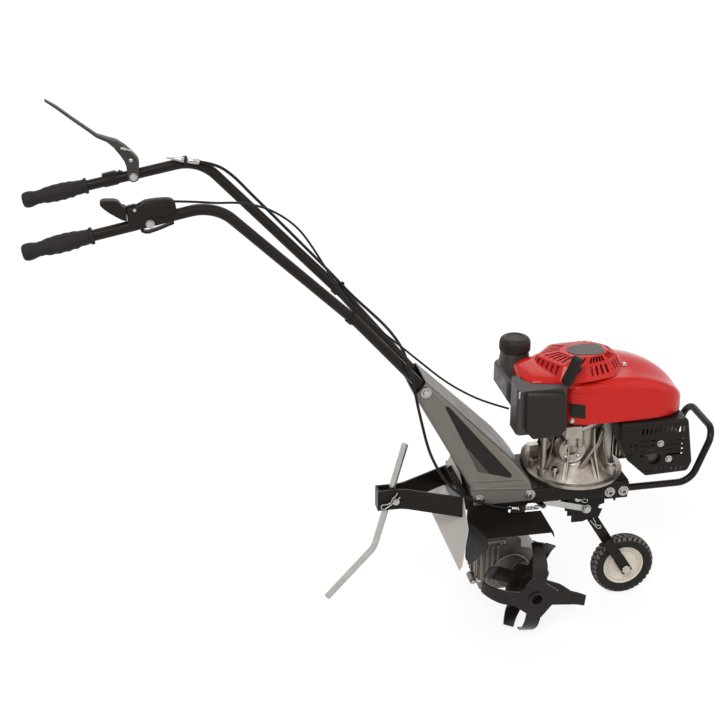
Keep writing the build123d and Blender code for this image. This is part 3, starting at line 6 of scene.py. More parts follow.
import bmesh
import bpy
from bpy.props import FloatProperty, FloatVectorProperty, IntProperty, PointerProperty
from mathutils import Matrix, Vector


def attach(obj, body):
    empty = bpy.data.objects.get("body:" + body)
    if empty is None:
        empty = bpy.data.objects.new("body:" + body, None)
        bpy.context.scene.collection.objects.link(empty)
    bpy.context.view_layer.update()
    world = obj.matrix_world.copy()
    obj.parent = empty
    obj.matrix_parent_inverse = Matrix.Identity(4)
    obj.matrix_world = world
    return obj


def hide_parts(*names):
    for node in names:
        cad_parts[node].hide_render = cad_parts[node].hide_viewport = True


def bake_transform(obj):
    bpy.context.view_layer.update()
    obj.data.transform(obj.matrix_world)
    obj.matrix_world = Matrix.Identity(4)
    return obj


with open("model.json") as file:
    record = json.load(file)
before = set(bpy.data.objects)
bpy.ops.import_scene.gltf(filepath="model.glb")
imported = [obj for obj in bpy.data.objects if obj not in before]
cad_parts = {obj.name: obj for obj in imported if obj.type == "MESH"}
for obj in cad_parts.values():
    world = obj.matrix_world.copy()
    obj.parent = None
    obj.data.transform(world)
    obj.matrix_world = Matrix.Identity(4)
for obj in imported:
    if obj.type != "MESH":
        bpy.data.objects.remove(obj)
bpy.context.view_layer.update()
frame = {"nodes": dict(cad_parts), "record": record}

bl_info = {
    "name": "Garden Tiller",
    "version": (1, 0, 0),
    "blender": (4, 5, 0),
    "location": "View3D > Sidebar > Tiller",
    "description": "Dresses the packed solids of a petrol garden tiller and sets a studio stage",
    "category": "Object",
}

MM = 0.001
X, Y, Z = Vector((1, 0, 0)), Vector((0, 1, 0)), Vector((0, 0, 1))


def linear(code):
    """Linear colour from an sRGB hex value."""
    parts = [int(code[i:i + 2], 16) / 255 for i in (0, 2, 4)]
    return tuple(c / 12.92 if c <= 0.04045 else ((c + 0.055) / 1.055) ** 2.4 for c in parts)


def colour_prop(name, description, code):
    """Colour property whose default is an sRGB hex value."""
    return FloatVectorProperty(name=name, description=description, default=linear(code), subtype="COLOR",
                               size=3, min=0.0, max=1.0)


def size_prop(name, description, millimetres):
    """Length property whose default is given in millimetres."""
    return FloatProperty(name=name, description=description, default=millimetres * MM, unit="LENGTH", min=0.0)


class TillerColours(bpy.types.PropertyGroup):
    """Colours of the painted, plated and moulded pieces."""
    red: colour_prop("Cowl red", "Gloss red of the engine covers", "C11A12")
    black: colour_prop("Frame black", "Stove enamel of the frame and tines", "1E1916")
    silver: colour_prop("Column silver", "Silver-grey enamel of the handle column", "736D67")
    pale: colour_prop("Rear guard", "Pale grey enamel of the rear guard", "B9B2AC")
    charcoal: colour_prop("Moulded charcoal", "Grained plastic of filter cover and cap", "2B2522")
    cream: colour_prop("Rim cream", "Moulded wheel rim", "D9CFBF")
    alloy: colour_prop("Cast alloy", "Crankcase and gear case castings", "A49B91")
    zinc: colour_prop("Zinc plate", "Bolts, pins, brace and drag bar", "B4B1AC")


class TillerSizes(bpy.types.PropertyGroup):
    """Sizes of the fine detail."""
    clutch_cable: size_prop("Clutch cable", "Outside diameter of the clutch cable's sheath", 6.4)
    throttle_cable: size_prop("Throttle cable", "Outside diameter of the throttle cable's sheath", 4.6)
    tread: size_prop("Tread depth", "Depth of the grooves between the tyre's blocks", 2.6)
    plate: size_prop("Plate thickness", "Thickness of the bare plates on the column and the cover", 0.8)
    tread_blocks: IntProperty(name="Tread blocks", description="Blocks round the tyre", default=34, min=12, max=80)


def add_node(tree, kind, sockets=None, **settings):
    """Add a node, set its settings, and set or link its sockets."""
    node = tree.nodes.new(kind)
    for key, value in settings.items():
        setattr(node, key, value)
    for key, value in (sockets or {}).items():
        if isinstance(value, bpy.types.NodeSocket):
            tree.links.new(value, node.inputs[key])
        else:
            node.inputs[key].default_value = value
    return node


def ranged(tree, value, span, low, high):
    """Value carried over from one span to another."""
    return add_node(tree, "ShaderNodeMapRange", {"Value": value, "From Min": span[0], "From Max": span[1],
                                                 "To Min": low, "To Max": high}).outputs["Result"]


def mixed(tree, share, base, other):
    """Colour mixed from a base and a share of another colour."""
    return add_node(tree, "ShaderNodeMix", {"Factor": share, 6: base, 7: (*other, 1.0)}, data_type="RGBA").outputs[2]


def scaled(tree, colour, share):
    """Colour made darker or lighter."""
    return add_node(tree, "ShaderNodeVectorMath", {0: colour, "Scale": share}, operation="SCALE").outputs["Vector"]


# Spans of the patterns that a finish is mixed from, the reach of its painted shade in corners, and its dust
PATCH_SPAN, EDGE_SPAN, SPECK_SPAN, CORNER_SHADE_SPAN = (0.3, 0.7), (0.99, 0.80), (0.45, 0.75), (0.35, 0.95)
CORNER_SHADE_MM = 14.0
DUST = "8A8178"
COAT_ROUGHNESS, RELIEF_SHARE = 0.06, 0.4


def finish(name, colour, roughness, metallic=0.0, spread=0.08, mottle_mm=30.0, mottle=0.10, grain_mm=1.2,
           grain=0.08, coat=0.0, wear_and_sheen=None, wear_and_sheen_share=0.0, edge_mm=0.9, dusty=0.0, specular=0.5, painted_corner_shade=0.0):
    """Surface of one material: patchy colour, patchy gloss, fine grain, soft edges, lighter edges that are partly
    scuffs and partly painted highlight, and painted shade in corners.
    """
    material = bpy.data.materials.new(name)
    material.use_nodes = True
    tree = material.node_tree
    tree.nodes.clear()
    place = add_node(tree, "ShaderNodeTexCoord").outputs["Object"]
    patches, fine = (add_node(tree, "ShaderNodeTexNoise", {"Vector": place, "Scale": 1 / (size * MM), "Detail": detail})
                     .outputs["Fac"] for size, detail in ((mottle_mm, 4.0), (grain_mm, 2.0)))
    colour = linear(colour) if isinstance(colour, str) else (*colour,)
    shade = scaled(tree, colour, ranged(tree, patches, PATCH_SPAN, 1 - mottle, 1 + mottle))
    soft = add_node(tree, "ShaderNodeBevel", {"Radius": edge_mm * MM}, samples=4).outputs["Normal"]
    # Lighter colour on the edges, patchy: partly scuffs, partly painted highlight
    if wear_and_sheen:
        face = add_node(tree, "ShaderNodeNewGeometry").outputs["Normal"]
        flat = add_node(tree, "ShaderNodeVectorMath", {0: soft, 1: face}, operation="DOT_PRODUCT").outputs["Value"]
        wear_and_sheen_mask = add_node(tree, "ShaderNodeMath", {0: ranged(tree, flat, EDGE_SPAN, 0.0, wear_and_sheen_share), 1: patches},
                       operation="MULTIPLY").outputs["Value"]
        shade = mixed(tree, wear_and_sheen_mask, shade, linear(wear_and_sheen))
    if dusty:
        shade = mixed(tree, ranged(tree, fine, SPECK_SPAN, 0.0, dusty), shade, linear(DUST))
    # Painted shade: the colour darkens where ambient occlusion finds corners and hollows
    if painted_corner_shade:
        corner_shade = add_node(tree, "ShaderNodeAmbientOcclusion", {"Distance": CORNER_SHADE_MM * MM}, samples=4).outputs["AO"]
        shade = scaled(tree, shade, ranged(tree, corner_shade, CORNER_SHADE_SPAN, 1 - painted_corner_shade, 1.0))
    gloss = ranged(tree, patches, PATCH_SPAN, max(0.02, roughness - spread), min(1.0, roughness + spread))
    relief = add_node(tree, "ShaderNodeBump", {"Strength": grain, "Distance": grain_mm * MM * RELIEF_SHARE,
                                               "Height": fine, "Normal": soft})
    shader = add_node(tree, "ShaderNodeBsdfPrincipled", {
        "Base Color": shade, "Metallic": metallic, "Roughness": gloss, "Specular IOR Level": specular,
        "Coat Weight": coat, "Coat Roughness": COAT_ROUGHNESS, "Normal": relief.outputs["Normal"]})
    add_node(tree, "ShaderNodeOutputMaterial", {"Surface": shader.outputs["BSDF"]})


def make_finishes(tone):
    """All finishes of the machine, each under its own name."""
    # Stove enamel on steel sheet and tube: deep black, slight orange peel, grey on edges that are partly scuffed and
    # partly a painted highlight
    finish("stove_enamel_black", tone.black, 0.30, grain_mm=2.2, grain=0.04, coat=0.03, specular=0.12,
           wear_and_sheen="57524D", wear_and_sheen_share=0.5)
    # The same enamel on the guards, half dull from soil and stones
    finish("dull_enamel_black", "1B1715", 0.42, grain_mm=2.2, grain=0.06, specular=0.12, wear_and_sheen="3E3A37",
           wear_and_sheen_share=0.4)
    # Blade steel dipped in black paint: thinner on the edges, scuffed in transport
    finish("dipped_paint_black", tone.black, 0.26, grain_mm=3.0, grain=0.08, coat=0.06, specular=0.20,
           wear_and_sheen="8B867F", wear_and_sheen_share=0.75, spread=0.12)
    # Thin satin enamel on pressed sheet: its grey tone and lighter edges are partly painted sheen where it turns up to
    # the light
    finish("satin_enamel_painted_sheen", "353230", 0.46, grain_mm=1.6, grain=0.06, specular=0.35, wear_and_sheen="7A756F",
           wear_and_sheen_share=0.5)
    # Silver enamel with a little metal flake on pressed sheet
    finish("flake_enamel_silver", tone.silver, 0.40, metallic=0.35, grain_mm=0.9, grain=0.03, mottle=0.04,
           specular=0.25, wear_and_sheen="B9B4AE", wear_and_sheen_share=0.5, edge_mm=1.6)
    # Pale enamel on flat sheet: even and slightly satin
    finish("enamel_pale_grey", tone.pale, 0.42, metallic=0.15, grain_mm=1.0, grain=0.03, mottle=0.05, specular=0.3,
           wear_and_sheen="DAD5CE", wear_and_sheen_share=0.4)
    # Gloss red enamel on moulded covers: clear highlights over a deep colour, lighter red on edges that is partly
    # painted highlight, and painted shade in corners
    finish("gloss_enamel_red", tone.red, 0.22, spread=0.03, mottle=0.03, grain_mm=4.0, grain=0.008, coat=0.10,
           specular=0.18, wear_and_sheen="D2423A", wear_and_sheen_share=0.35, edge_mm=1.8, painted_corner_shade=0.45)
    # Injection-moulded plastic with a fine spark-eroded grain
    finish("moulded_plastic_charcoal", tone.charcoal, 0.48, grain_mm=0.9, grain=0.12, mottle=0.06, specular=0.17,
           wear_and_sheen="4A4643", wear_and_sheen_share=0.35, edge_mm=1.4)
    # The same plastic, paler, on tank and filter case
    finish("moulded_plastic_grey", "3E3B38", 0.40, grain_mm=0.9, grain=0.10, mottle=0.06, specular=0.30,
           wear_and_sheen="76716C", wear_and_sheen_share=0.4, edge_mm=1.6)
    # The same plastic in black, a little smoother, on the controls
    finish("moulded_plastic_black", tone.black, 0.42, grain_mm=0.9, grain=0.10, mottle=0.06, specular=0.16,
           wear_and_sheen="484440", wear_and_sheen_share=0.35)
    # Moulded nylon: matt and waxy, with painted shade in its corners
    finish("moulded_nylon_cream", tone.cream, 0.48, grain_mm=1.5, grain=0.04, mottle=0.05, specular=0.3, painted_corner_shade=0.4)
    # Die-cast aluminium: dull, pitted, brighter on edges, and darker in its corners from painted shade
    finish("die_cast_aluminium", tone.alloy, 0.36, metallic=0.9, grain_mm=1.6, grain=0.16, mottle=0.18,
           mottle_mm=18.0, wear_and_sheen="E2DDD6", wear_and_sheen_share=0.7, painted_corner_shade=0.7)
    # Sand-cast case with a thin grey wash, and painted shade in its corners
    finish("sand_cast_grey", "857D75", 0.42, metallic=0.7, grain_mm=1.8, grain=0.22, mottle=0.16, wear_and_sheen="CFC9C1",
           wear_and_sheen_share=0.6, painted_corner_shade=0.6)
    # Bright zinc plate with a cloudy gloss, and painted shade in its corners
    finish("zinc_plated_steel", tone.zinc, 0.24, metallic=1.0, spread=0.06, mottle_mm=14.0, mottle=0.10,
           grain_mm=0.8, grain=0.015, painted_corner_shade=0.5)
    # Turned steel with an oil film: dark and half bright
    finish("oiled_dark_steel", "4B4845", 0.38, metallic=0.9, grain_mm=0.8, grain=0.06, wear_and_sheen="9A958E", wear_and_sheen_share=0.5)
    # Cast bronze: warm yellow metal with a fine sandy skin
    finish("cast_bronze", "A98A52", 0.40, metallic=0.95, grain_mm=1.0, grain=0.12)
    # Vulcanised rubber: matt, faintly bloomed
    finish("vulcanised_rubber", "282523", 0.58, grain_mm=0.8, grain=0.12, mottle=0.12, specular=0.14)
    # Tyre rubber: matt black sides with a trace of dust, and painted shade in its corners
    finish("tyre_rubber", "1F1D1C", 0.70, grain_mm=1.0, grain=0.25, mottle=0.15, dusty=0.10, specular=0.15, painted_corner_shade=0.5)
    # The tyre's tread blocks: the same rubber, greyed by dust from the ground, with painted shade in the grooves
    # between them
    finish("dusty_tread_rubber", "68625D", 0.80, grain_mm=1.4, grain=0.3, mottle_mm=9.0, mottle=0.22, dusty=0.15,
           specular=0.12, painted_corner_shade=0.6)
    # Extruded soft PVC over wire: smooth, half gloss
    finish("pvc_sheath_black", "121111", 0.36, grain_mm=2.0, grain=0.03, specular=0.18)
    # Laminated film on sheet: plain and even, in a dark and a grey tone
    finish("bare_plate_dark", "231F1D", 0.34, grain_mm=1.0, grain=0.02, mottle=0.05, specular=0.16)
    finish("bare_plate_grey", "4B4744", 0.36, grain_mm=1.0, grain=0.02, mottle=0.05, specular=0.2)
    # Braided nylon rope: fine criss-cross, drawn as a coarse grain
    finish("braided_nylon_black", "201E1D", 0.65, grain_mm=1.4, grain=0.4, mottle=0.2, mottle_mm=2.0, specular=0.2)


SLOT_FINISH = {
    "black_paint": "stove_enamel_black", "grey_paint": "flake_enamel_silver", "light_paint": "enamel_pale_grey",
    "zinc": "zinc_plated_steel", "dark_steel": "oiled_dark_steel", "bronze": "cast_bronze",
    "cast_aluminium": "die_cast_aluminium", "red_gloss": "gloss_enamel_red",
    "grey_plastic": "moulded_plastic_charcoal", "black_plastic": "moulded_plastic_black",
    "cream_plastic": "moulded_nylon_cream", "rubber": "vulcanised_rubber", "cable_sheath": "pvc_sheath_black",
    "tyre": "tyre_rubber",
}
NODE_FINISH = {
    **{f"tine_star_{side}_{row}": "dipped_paint_black" for side in ("right", "left") for row in ("outer", "inner")},
    **{f"tine_guard_{side}": "dull_enamel_black" for side in ("left", "right")},
    **{f"gear_case_{side}": "sand_cast_grey" for side in ("left", "right")},
    "air_filter_cover": "moulded_plastic_charcoal", "air_filter_case": "moulded_plastic_grey",
    "fuel_tank": "moulded_plastic_grey",
}
# Softened edges are sharper than this, in degrees; a hexagon head narrows to this share at its crown
BEVEL_FROM, HEX_CROWN = 40.0, 0.86


def piece(name, data, surface, body):
    """New object from a mesh or a curve, dressed and riding on a body, or on none yet."""
    obj = bpy.data.objects.new(name, data)
    bpy.context.scene.collection.objects.link(obj)
    obj.data.materials.append(bpy.data.materials[surface])
    if body:
        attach(obj, body)
    return obj


def mesh_from(form, name):
    """Mesh in metres from a form drawn in millimetres."""
    bmesh.ops.recalc_face_normals(form, faces=form.faces)
    bmesh.ops.scale(form, vec=(MM, MM, MM), verts=form.verts)
    mesh = bpy.data.meshes.new(name)
    form.to_mesh(mesh)
    form.free()
    return mesh


def smoothed(mesh, crease):
    """Smooth shading that breaks at edges sharper than the crease, in degrees."""
    for polygon in mesh.polygons:
        polygon.use_smooth = True
    mesh.set_sharp_from_angle(angle=math.radians(crease))


def shape_piece(name, form, surface, body="chassis", stands_for=None, crease=32.0, soften=0.0):
    """Piece from a form drawn in millimetres, with softened edges, which may stand for a solid."""
    mesh = mesh_from(form, name)
    smoothed(mesh, crease)
    obj = piece(name, mesh, surface, body)
    if soften:
        edge = obj.modifiers.new("soft_edges", "BEVEL")
        edge.width = soften * MM
        edge.segments = 2
        edge.limit_method = "ANGLE"
        edge.angle_limit = math.radians(BEVEL_FROM)
    if stands_for:
        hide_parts(stands_for)
    return obj


def basis(axis):
    """Level and upward directions square to an axis."""
    axis = Vector(axis).normalized()
    level = axis.cross(Z)
    if level.length < 0.001:
        level = X.copy()
    level.normalize()
    return level, level.cross(axis).normalized()


def skin(form, rings, ends=True, loop=False):
    """Surface between closed rings that have the same number of points; a loop joins the last to the first."""
    rows = [[form.verts.new(point) for point in ring] for ring in rings]
    if loop:
        ends = False
        rows.append(rows[0])
    for first, second in zip(rows, rows[1:]):
        for i in range(len(first)):
            j = (i + 1) % len(first)
            form.faces.new((first[i], first[j], second[j], second[i]))
    if ends:
        form.faces.new(rows[0])
        form.faces.new(rows[-1])


def turned(form, start, axis, profile, steps=40, shape=None, loop=False):
    """Turned surface from (along, radius) points; the shape adds to the radius by place and angle."""
    axis = Vector(axis).normalized()
    level, up = basis(axis)
    rings = []
    for along, radius in profile:
        ring = []
        for step in range(steps):
            angle = 2 * math.pi * step / steps
            reach = radius + (shape(along, angle) if shape else 0.0)
            ring.append(Vector(start) + axis * along + (level * math.cos(angle) + up * math.sin(angle)) * reach)
        rings.append(ring)
    skin(form, rings, loop=loop)


def prism(form, outline, depth, origin=(0, 0, 0), across=X, up=Z, out=Y, sunk=0.0):
    """Plate from an outline of two-way points, laid in space by an origin and three directions, and sunk there."""
    skin(form, [[Vector(origin) + across * u + up * v + out * h for u, v in outline] for h in (-sunk, depth - sunk)])


def flank(form, outline, side, inner, depth, middle=0.0):
    """Upright plate to one side of a middle plane, from an outline of (x, z) points."""
    prism(form, outline, depth, Y * (middle + side * inner), out=Y * side)


def arc(first, step, count, radius, centre=(0.0, 0.0)):
    """Points on a circle at even steps, in degrees."""
    turns = [math.radians(first + step * k) for k in range(count)]
    return [(centre[0] + radius * math.cos(turn), centre[1] + radius * math.sin(turn)) for turn in turns]


def squarish(angle, wide, deep):
    """Point of a rounded square at an angle; smaller powers are squarer."""
    c, s = math.cos(angle), math.sin(angle)
    return math.copysign(abs(c) ** wide, c), math.copysign(abs(s) ** deep, s)


def compass(degrees):
    """Level direction at an angle, and the direction square to it."""
    ray = Vector((math.cos(math.radians(degrees)), math.sin(math.radians(degrees)), 0))
    return ray, Vector((-ray.y, ray.x, 0))


def mirrored(half, middle=()):
    """Rows of (distance, value) from one side to the other, from the rows of one half."""
    return [(-place, value) for place, value in half] + list(middle) + list(reversed(half))


def hexagon(form, start, axis, radius, depth, crown=0.8):
    """Hexagon head with its corners turned off."""
    level, up = basis(axis)
    axis = Vector(axis).normalized()
    skin(form, [[Vector(start) + axis * along + (level * u + up * v) * share for u, v in arc(0, 60, 6, radius)]
                for along, share in ((0.0, 1.0), (depth - crown, 1.0), (depth, HEX_CROWN))])


def capscrew(form, place, axis, flange, head, depth):
    """Flanged hexagon screw head seated on a face."""
    turned(form, place, axis, [(-0.6, flange), (1.0, flange), (1.6, flange - 0.8)], 28)
    hexagon(form, Vector(place) + Vector(axis).normalized() * 1.0, axis, head, depth)


def threaded(start, stop, radius, pitch=1.5, depth=0.5):
    """Profile of a screw thread, drawn as close rings."""
    profile = []
    for k in range(int((stop - start) / pitch)):
        along = start + k * pitch
        profile += [(along, radius - depth), (along + pitch * 0.5, radius)]
    return profile + [(stop, radius - depth)]


def eased(table, at):
    """Value at a place in a table of (place, value) rows, eased between the rows."""
    for (before, low), (after, high) in zip(table, table[1:]):
        if at <= after:
            share = max(0.0, (at - before) / (after - before))
            return low + (high - low) * share * share * (3 - 2 * share)
    return table[-1][1]


def stations(table, pitch):
    """Places along a table, its own rows and even steps between them."""
    places = []
    for (before, _), (after, _) in zip(table, table[1:]):
        count = max(1, math.ceil((after - before) / pitch))
        places += [before + (after - before) * k / count for k in range(count)]
    return places + [table[-1][0]]


def seat(node, start, toward):
    """Where a line from a start meets the surface of a solid, in millimetres, and the surface's normal."""
    obj = frame["nodes"][node]
    inward = obj.matrix_world.inverted()
    way = inward.to_3x3() @ Vector(toward)
    hit, place, normal, _ = obj.ray_cast(inward @ (Vector(start) * MM), way.normalized())
    if not hit:
        raise ValueError(f"{node} is not met from {tuple(start)}")
    return obj.matrix_world @ place / MM, (obj.matrix_world.to_3x3() @ normal).normalized()


def draped(form, node, corners, height, toward, thick, count=10, sunk=0.4):
    """Thin plate that follows the surface of a solid, between four corners given on a flat in front of it."""
    toward = Vector(toward).normalized()
    top, low = [], []
    for i, j in product(range(count + 1), repeat=2):
        u, v = i / count, j / count
        flat = [(1 - u) * (1 - v) * a + u * (1 - v) * b + u * v * c + (1 - u) * v * d
                for a, b, c, d in zip(*corners)]
        place, _ = seat(node, Vector(flat) - toward * height, toward)
        top.append(form.verts.new(place - toward * thick))
        low.append(form.verts.new(place + toward * sunk))
    row = count + 1
    for i, j in product(range(count), repeat=2):
        a = i * row + j
        form.faces.new((top[a], top[a + row], top[a + row + 1], top[a + 1]))
        form.faces.new((low[a], low[a + 1], low[a + row + 1], low[a + row]))
    edge = (list(range(row)) + [i * row + count for i in range(1, row)]
            + [count * row + count - k for k in range(1, row)] + [i * row for i in range(count - 1, 0, -1)])
    for a, b in zip(edge, edge[1:] + edge[:1]):
        form.faces.new((top[a], top[b], low[b], low[a]))


def wire(name, points, diameter, surface, body="chassis", along_steps=6, round_steps=3):
    """Bent wire or sheath along one smooth line that its points draw in."""
    curve = bpy.data.curves.new(name, "CURVE")
    curve.dimensions = "3D"
    spline = curve.splines.new("NURBS")
    spline.points.add(len(points) - 1)
    for point, corner in zip(spline.points, points):
        point.co = (*(v * MM for v in corner), 1.0)
    spline.order_u = 3
    spline.use_endpoint_u = True
    spline.resolution_u = along_steps
    curve.bevel_depth = diameter * MM / 2
    curve.bevel_resolution = round_steps
    curve.use_fill_caps = True
    return piece(name, curve, surface, body)


class TILLER_OT_finishes(bpy.types.Operator):
    """Make the finishes and put them on the solids"""
    bl_idname = "tiller.finishes"
    bl_label = "Finishes"

    def execute(self, context):
        make_finishes(context.scene.tiller_colours)
        for sub in frame["record"]["subparts"]:
            obj = frame["nodes"][sub["node"]]
            chosen = NODE_FINISH.get(sub["node"], SLOT_FINISH[sub["material_slot"]])
            obj.data.materials.clear()
            obj.data.materials.append(bpy.data.materials[chosen])
        return {"FINISHED"}


# Cable routes, corner by corner, in millimetres
CLUTCH_ROUTE = [
    (-373, 134, 1072), (-338, 131.5, 1066), (-303, 128, 1039), (-269, 122, 1000), (-233, 113, 962),
    (-197, 104, 923), (-163, 96, 886), (-128, 88, 848), (-97, 79, 813), (-70, 64, 783), (-39, 44, 755),
    (-5, 18, 725), (12, -12, 707), (23, -44, 690), (30, -70, 663), (37, -84, 629), (44, -90, 585),
    (55, -94, 534), (68, -98, 478), (86, -101, 434), (108, -103, 396), (136, -104, 365), (168, -103, 344),
    (203, -100, 328), (234, -96, 314), (262, -93, 308),
]
THROTTLE_ROUTE = [
    (-449, -151, 1085), (-407, -140, 1078), (-367, -127, 1068), (-331, -114, 1063), (-297, -104, 1054),
    (-261, -97, 1039), (-226, -92, 1015), (-198, -89, 987), (-174, -87, 949), (-152, -85, 910),
    (-129, -84, 869), (-102, -82, 822), (-63, -72, 779), (-23, -62, 740), (18, -53, 701), (66, -45, 654),
    (114, -41, 609), (161, -42, 576), (208, -46, 551), (258, -52, 534),
]


class TILLER_OT_cables(bpy.types.Operator):
    """Lay the clutch and throttle cables along their routes"""
    bl_idname = "tiller.cables"
    bl_label = "Cables"

    def execute(self, context):
        sizes = context.scene.tiller_sizes
        for name, route, diameter in (("clutch_cable", CLUTCH_ROUTE, sizes.clutch_cable),
                                      ("throttle_cable", THROTTLE_ROUTE, sizes.throttle_cable)):
            obj = wire(f"{name}_sheath", route, diameter / MM, "pvc_sheath_black", along_steps=8, round_steps=5)
            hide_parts(name)
        return {"FINISHED"}


# Left handlebar: the tube's radius and its corners; the grip as (along, radius) rows from the tube's outer end
BAR_R = 11.0
BAR_END, BAR_BEND, BAR_KNEE = (-734, 157, 1004), (-372, 151, 1073), (-82, 79, 776)
GRIP_PROFILE = [(-3, 8), (-2.4, 11), (-0.5, 14), (3, 16), (9, 16.8), (16, 16.4), (22, 14.8), (28, 13.8), (34, 14.2),
                (46, 16.4), (62, 17.8), (80, 18.0), (96, 17.2), (110, 15.4), (120, 14.4), (126, 14.2),
                (126.6, 16.4), (132, 16.6), (133, 15.8), (133.2, 11.1)]
GRIP_HELD = [(28, 0), (36, 1), (112, 1), (120, 0)]
FINGER_START, FINGER_PITCH, FINGER_DEPTH, BACK_SHARE = 40.0, 17.0, 1.3, 0.45
FLUTE_COUNT, FLUTE_DEPTH = 24, 0.22


def on_side(corner, side):
    """Corner of the left bar, or its image on the right."""
    return Vector((corner[0], side * corner[1], corner[2]))


def bar_point(side, share):
    """Point on the grip stretch of a bar's axis, from its outer end to its first bend."""
    return on_side(BAR_END, side).lerp(on_side(BAR_BEND, side), share)


def bar_run(side):
    """Direction of the grip stretch of a bar."""
    return (on_side(BAR_BEND, side) - on_side(BAR_END, side)).normalized()


class TILLER_OT_grips(bpy.types.Operator):
    """Mould the two handgrips with their swell, finger waves and end flange"""
    bl_idname = "tiller.grips"
    bl_label = "Grips"

    def execute(self, context):
        def swell(along, angle):
            wave = 0.5 + 0.5 * math.cos(2 * math.pi * (along - FINGER_START) / FINGER_PITCH)
            hold = max(0.0, -math.sin(angle)) ** 1.5 + BACK_SHARE * max(0.0, math.sin(angle)) ** 2
            relief = FLUTE_DEPTH * math.cos(FLUTE_COUNT * angle) - FINGER_DEPTH * wave * hold
            return relief * eased(GRIP_HELD, along)

        profile = [(along, eased(GRIP_PROFILE, along)) for along in stations(GRIP_PROFILE, 2.4)]
        for side, name in ((1, "left"), (-1, "right")):
            form = bmesh.new()
            turned(form, bar_point(side, 0), bar_run(side), profile, 96, swell)
            shape_piece(f"grip_{name}_moulded", form, "vulcanised_rubber", stands_for=f"grip_{name}", crease=40)
        return {"FINISHED"}


# Clutch lever in its own plane: (x, z) along the upper and the lower edge, from the tip to the root
LEVER_Y = 153.27
LEVER_PIVOT = (-508.8, 1046.9)
LEVER_UPPER = [(-674.3, 1213.9), (-652.8, 1199.3), (-621.5, 1173), (-592.4, 1149.6), (-576.4, 1137),
               (-554.3, 1128.4), (-537.7, 1122.4), (-521.4, 1110.2), (-508, 1096.1), (-498.7, 1085.1), (-495.3, 1079.5)]
LEVER_LOWER = [(-676, 1211.4), (-655.2, 1195.9), (-624.2, 1169.6), (-595, 1145.9), (-578.7, 1131.8),
               (-557.4, 1121.2), (-545.5, 1110), (-534, 1094), (-525.5, 1081), (-521, 1072), (-519, 1066)]
LEVER_HALF = [7.0, 9.0, 9.6, 9.8, 10.2, 11.0, 12.6, 13.8, 14.2, 14.2, 14.2]
LEVER_SHEET, LEVER_CORNER, CORNER_CUT, LEVER_STEPS = 2.2, 2.4, 0.3, 4
EAR_INNER, EAR_SHEET = 11.7, 3.0
EAR_OUTLINE = arc(165, 15, 15, 12, LEVER_PIVOT) + [
    (-495.5, 1078), (-499, 1084.5), (-508, 1095), (-522, 1106), (-533, 1093), (-525.5, 1080), (-521.5, 1066)]
RIVET_PLACE, NIPPLE_PLACE = (-512, LEVER_Y - 14.1, 1081.7), (-532, LEVER_Y - 15.4, 1109.6)
NIPPLE_RUN = (24, 0, -8.4)
RIVET_PROFILE = [(0, 4.2), (1.2, 4.2), (2.2, 3.2), (2.8, 1.2)]
NIPPLE_PROFILE = [(0, 2.0), (0.6, 2.8), (12, 2.6), (13, 1.5), (24, 1.2)]


class TILLER_OT_clutch_lever(bpy.types.Operator):
    """Press the clutch lever from sheet: a shallow channel that opens into two ears round the tube"""
    bl_idname = "tiller.clutch_lever"
    bl_label = "Clutch Lever"

    def execute(self, context):
        edges = [[Vector((x, 0, z)) for x, z in row] for row in (LEVER_UPPER, LEVER_LOWER)]
        spans = len(LEVER_HALF) - 1
        rings = []
        for number in range(LEVER_STEPS * spans + 1):
            first = min(number // LEVER_STEPS, spans - 1)
            share = number / LEVER_STEPS - first
            top, low = (row[first].lerp(row[first + 1], share) for row in edges)
            half = LEVER_HALF[first] + (LEVER_HALF[first + 1] - LEVER_HALF[first]) * share
            rise, up = (top - low).length, (top - low).normalized()
            roof, inner = max(rise - LEVER_SHEET, 0.4), half - LEVER_SHEET
            turn = min(LEVER_CORNER, rise * 0.45)
            cut = CORNER_CUT * turn
            section = [(-half, 0), (-half, rise - turn), (-half + cut, rise - cut), (-half + turn, rise),
                       (half - turn, rise), (half - cut, rise - cut), (half, rise - turn), (half, 0),
                       (inner, 0), (inner, roof), (-inner, roof), (-inner, 0)]
            rings.append([low + up * v + Y * (LEVER_Y + u) for u, v in section])
        form = bmesh.new()
        skin(form, rings)
        for side in (-1, 1):
            flank(form, EAR_OUTLINE, side, EAR_INNER, EAR_SHEET, LEVER_Y)
        shape_piece("clutch_lever_pressed", form, "satin_enamel_painted_sheen", "clutch_lever", "clutch_lever",
                    crease=35, soften=0.5)

        form = bmesh.new()
        turned(form, RIVET_PLACE, -Y, RIVET_PROFILE, 24)
        turned(form, NIPPLE_PLACE, NIPPLE_RUN, NIPPLE_PROFILE, 20)
        shape_piece("clutch_lever_rivets", form, "zinc_plated_steel", "clutch_lever")
        return {"FINISHED"}


# Throttle control in its own plane, as (x, z) outlines, with insets by distance from the middle plane
THROTTLE_Y = -153.07
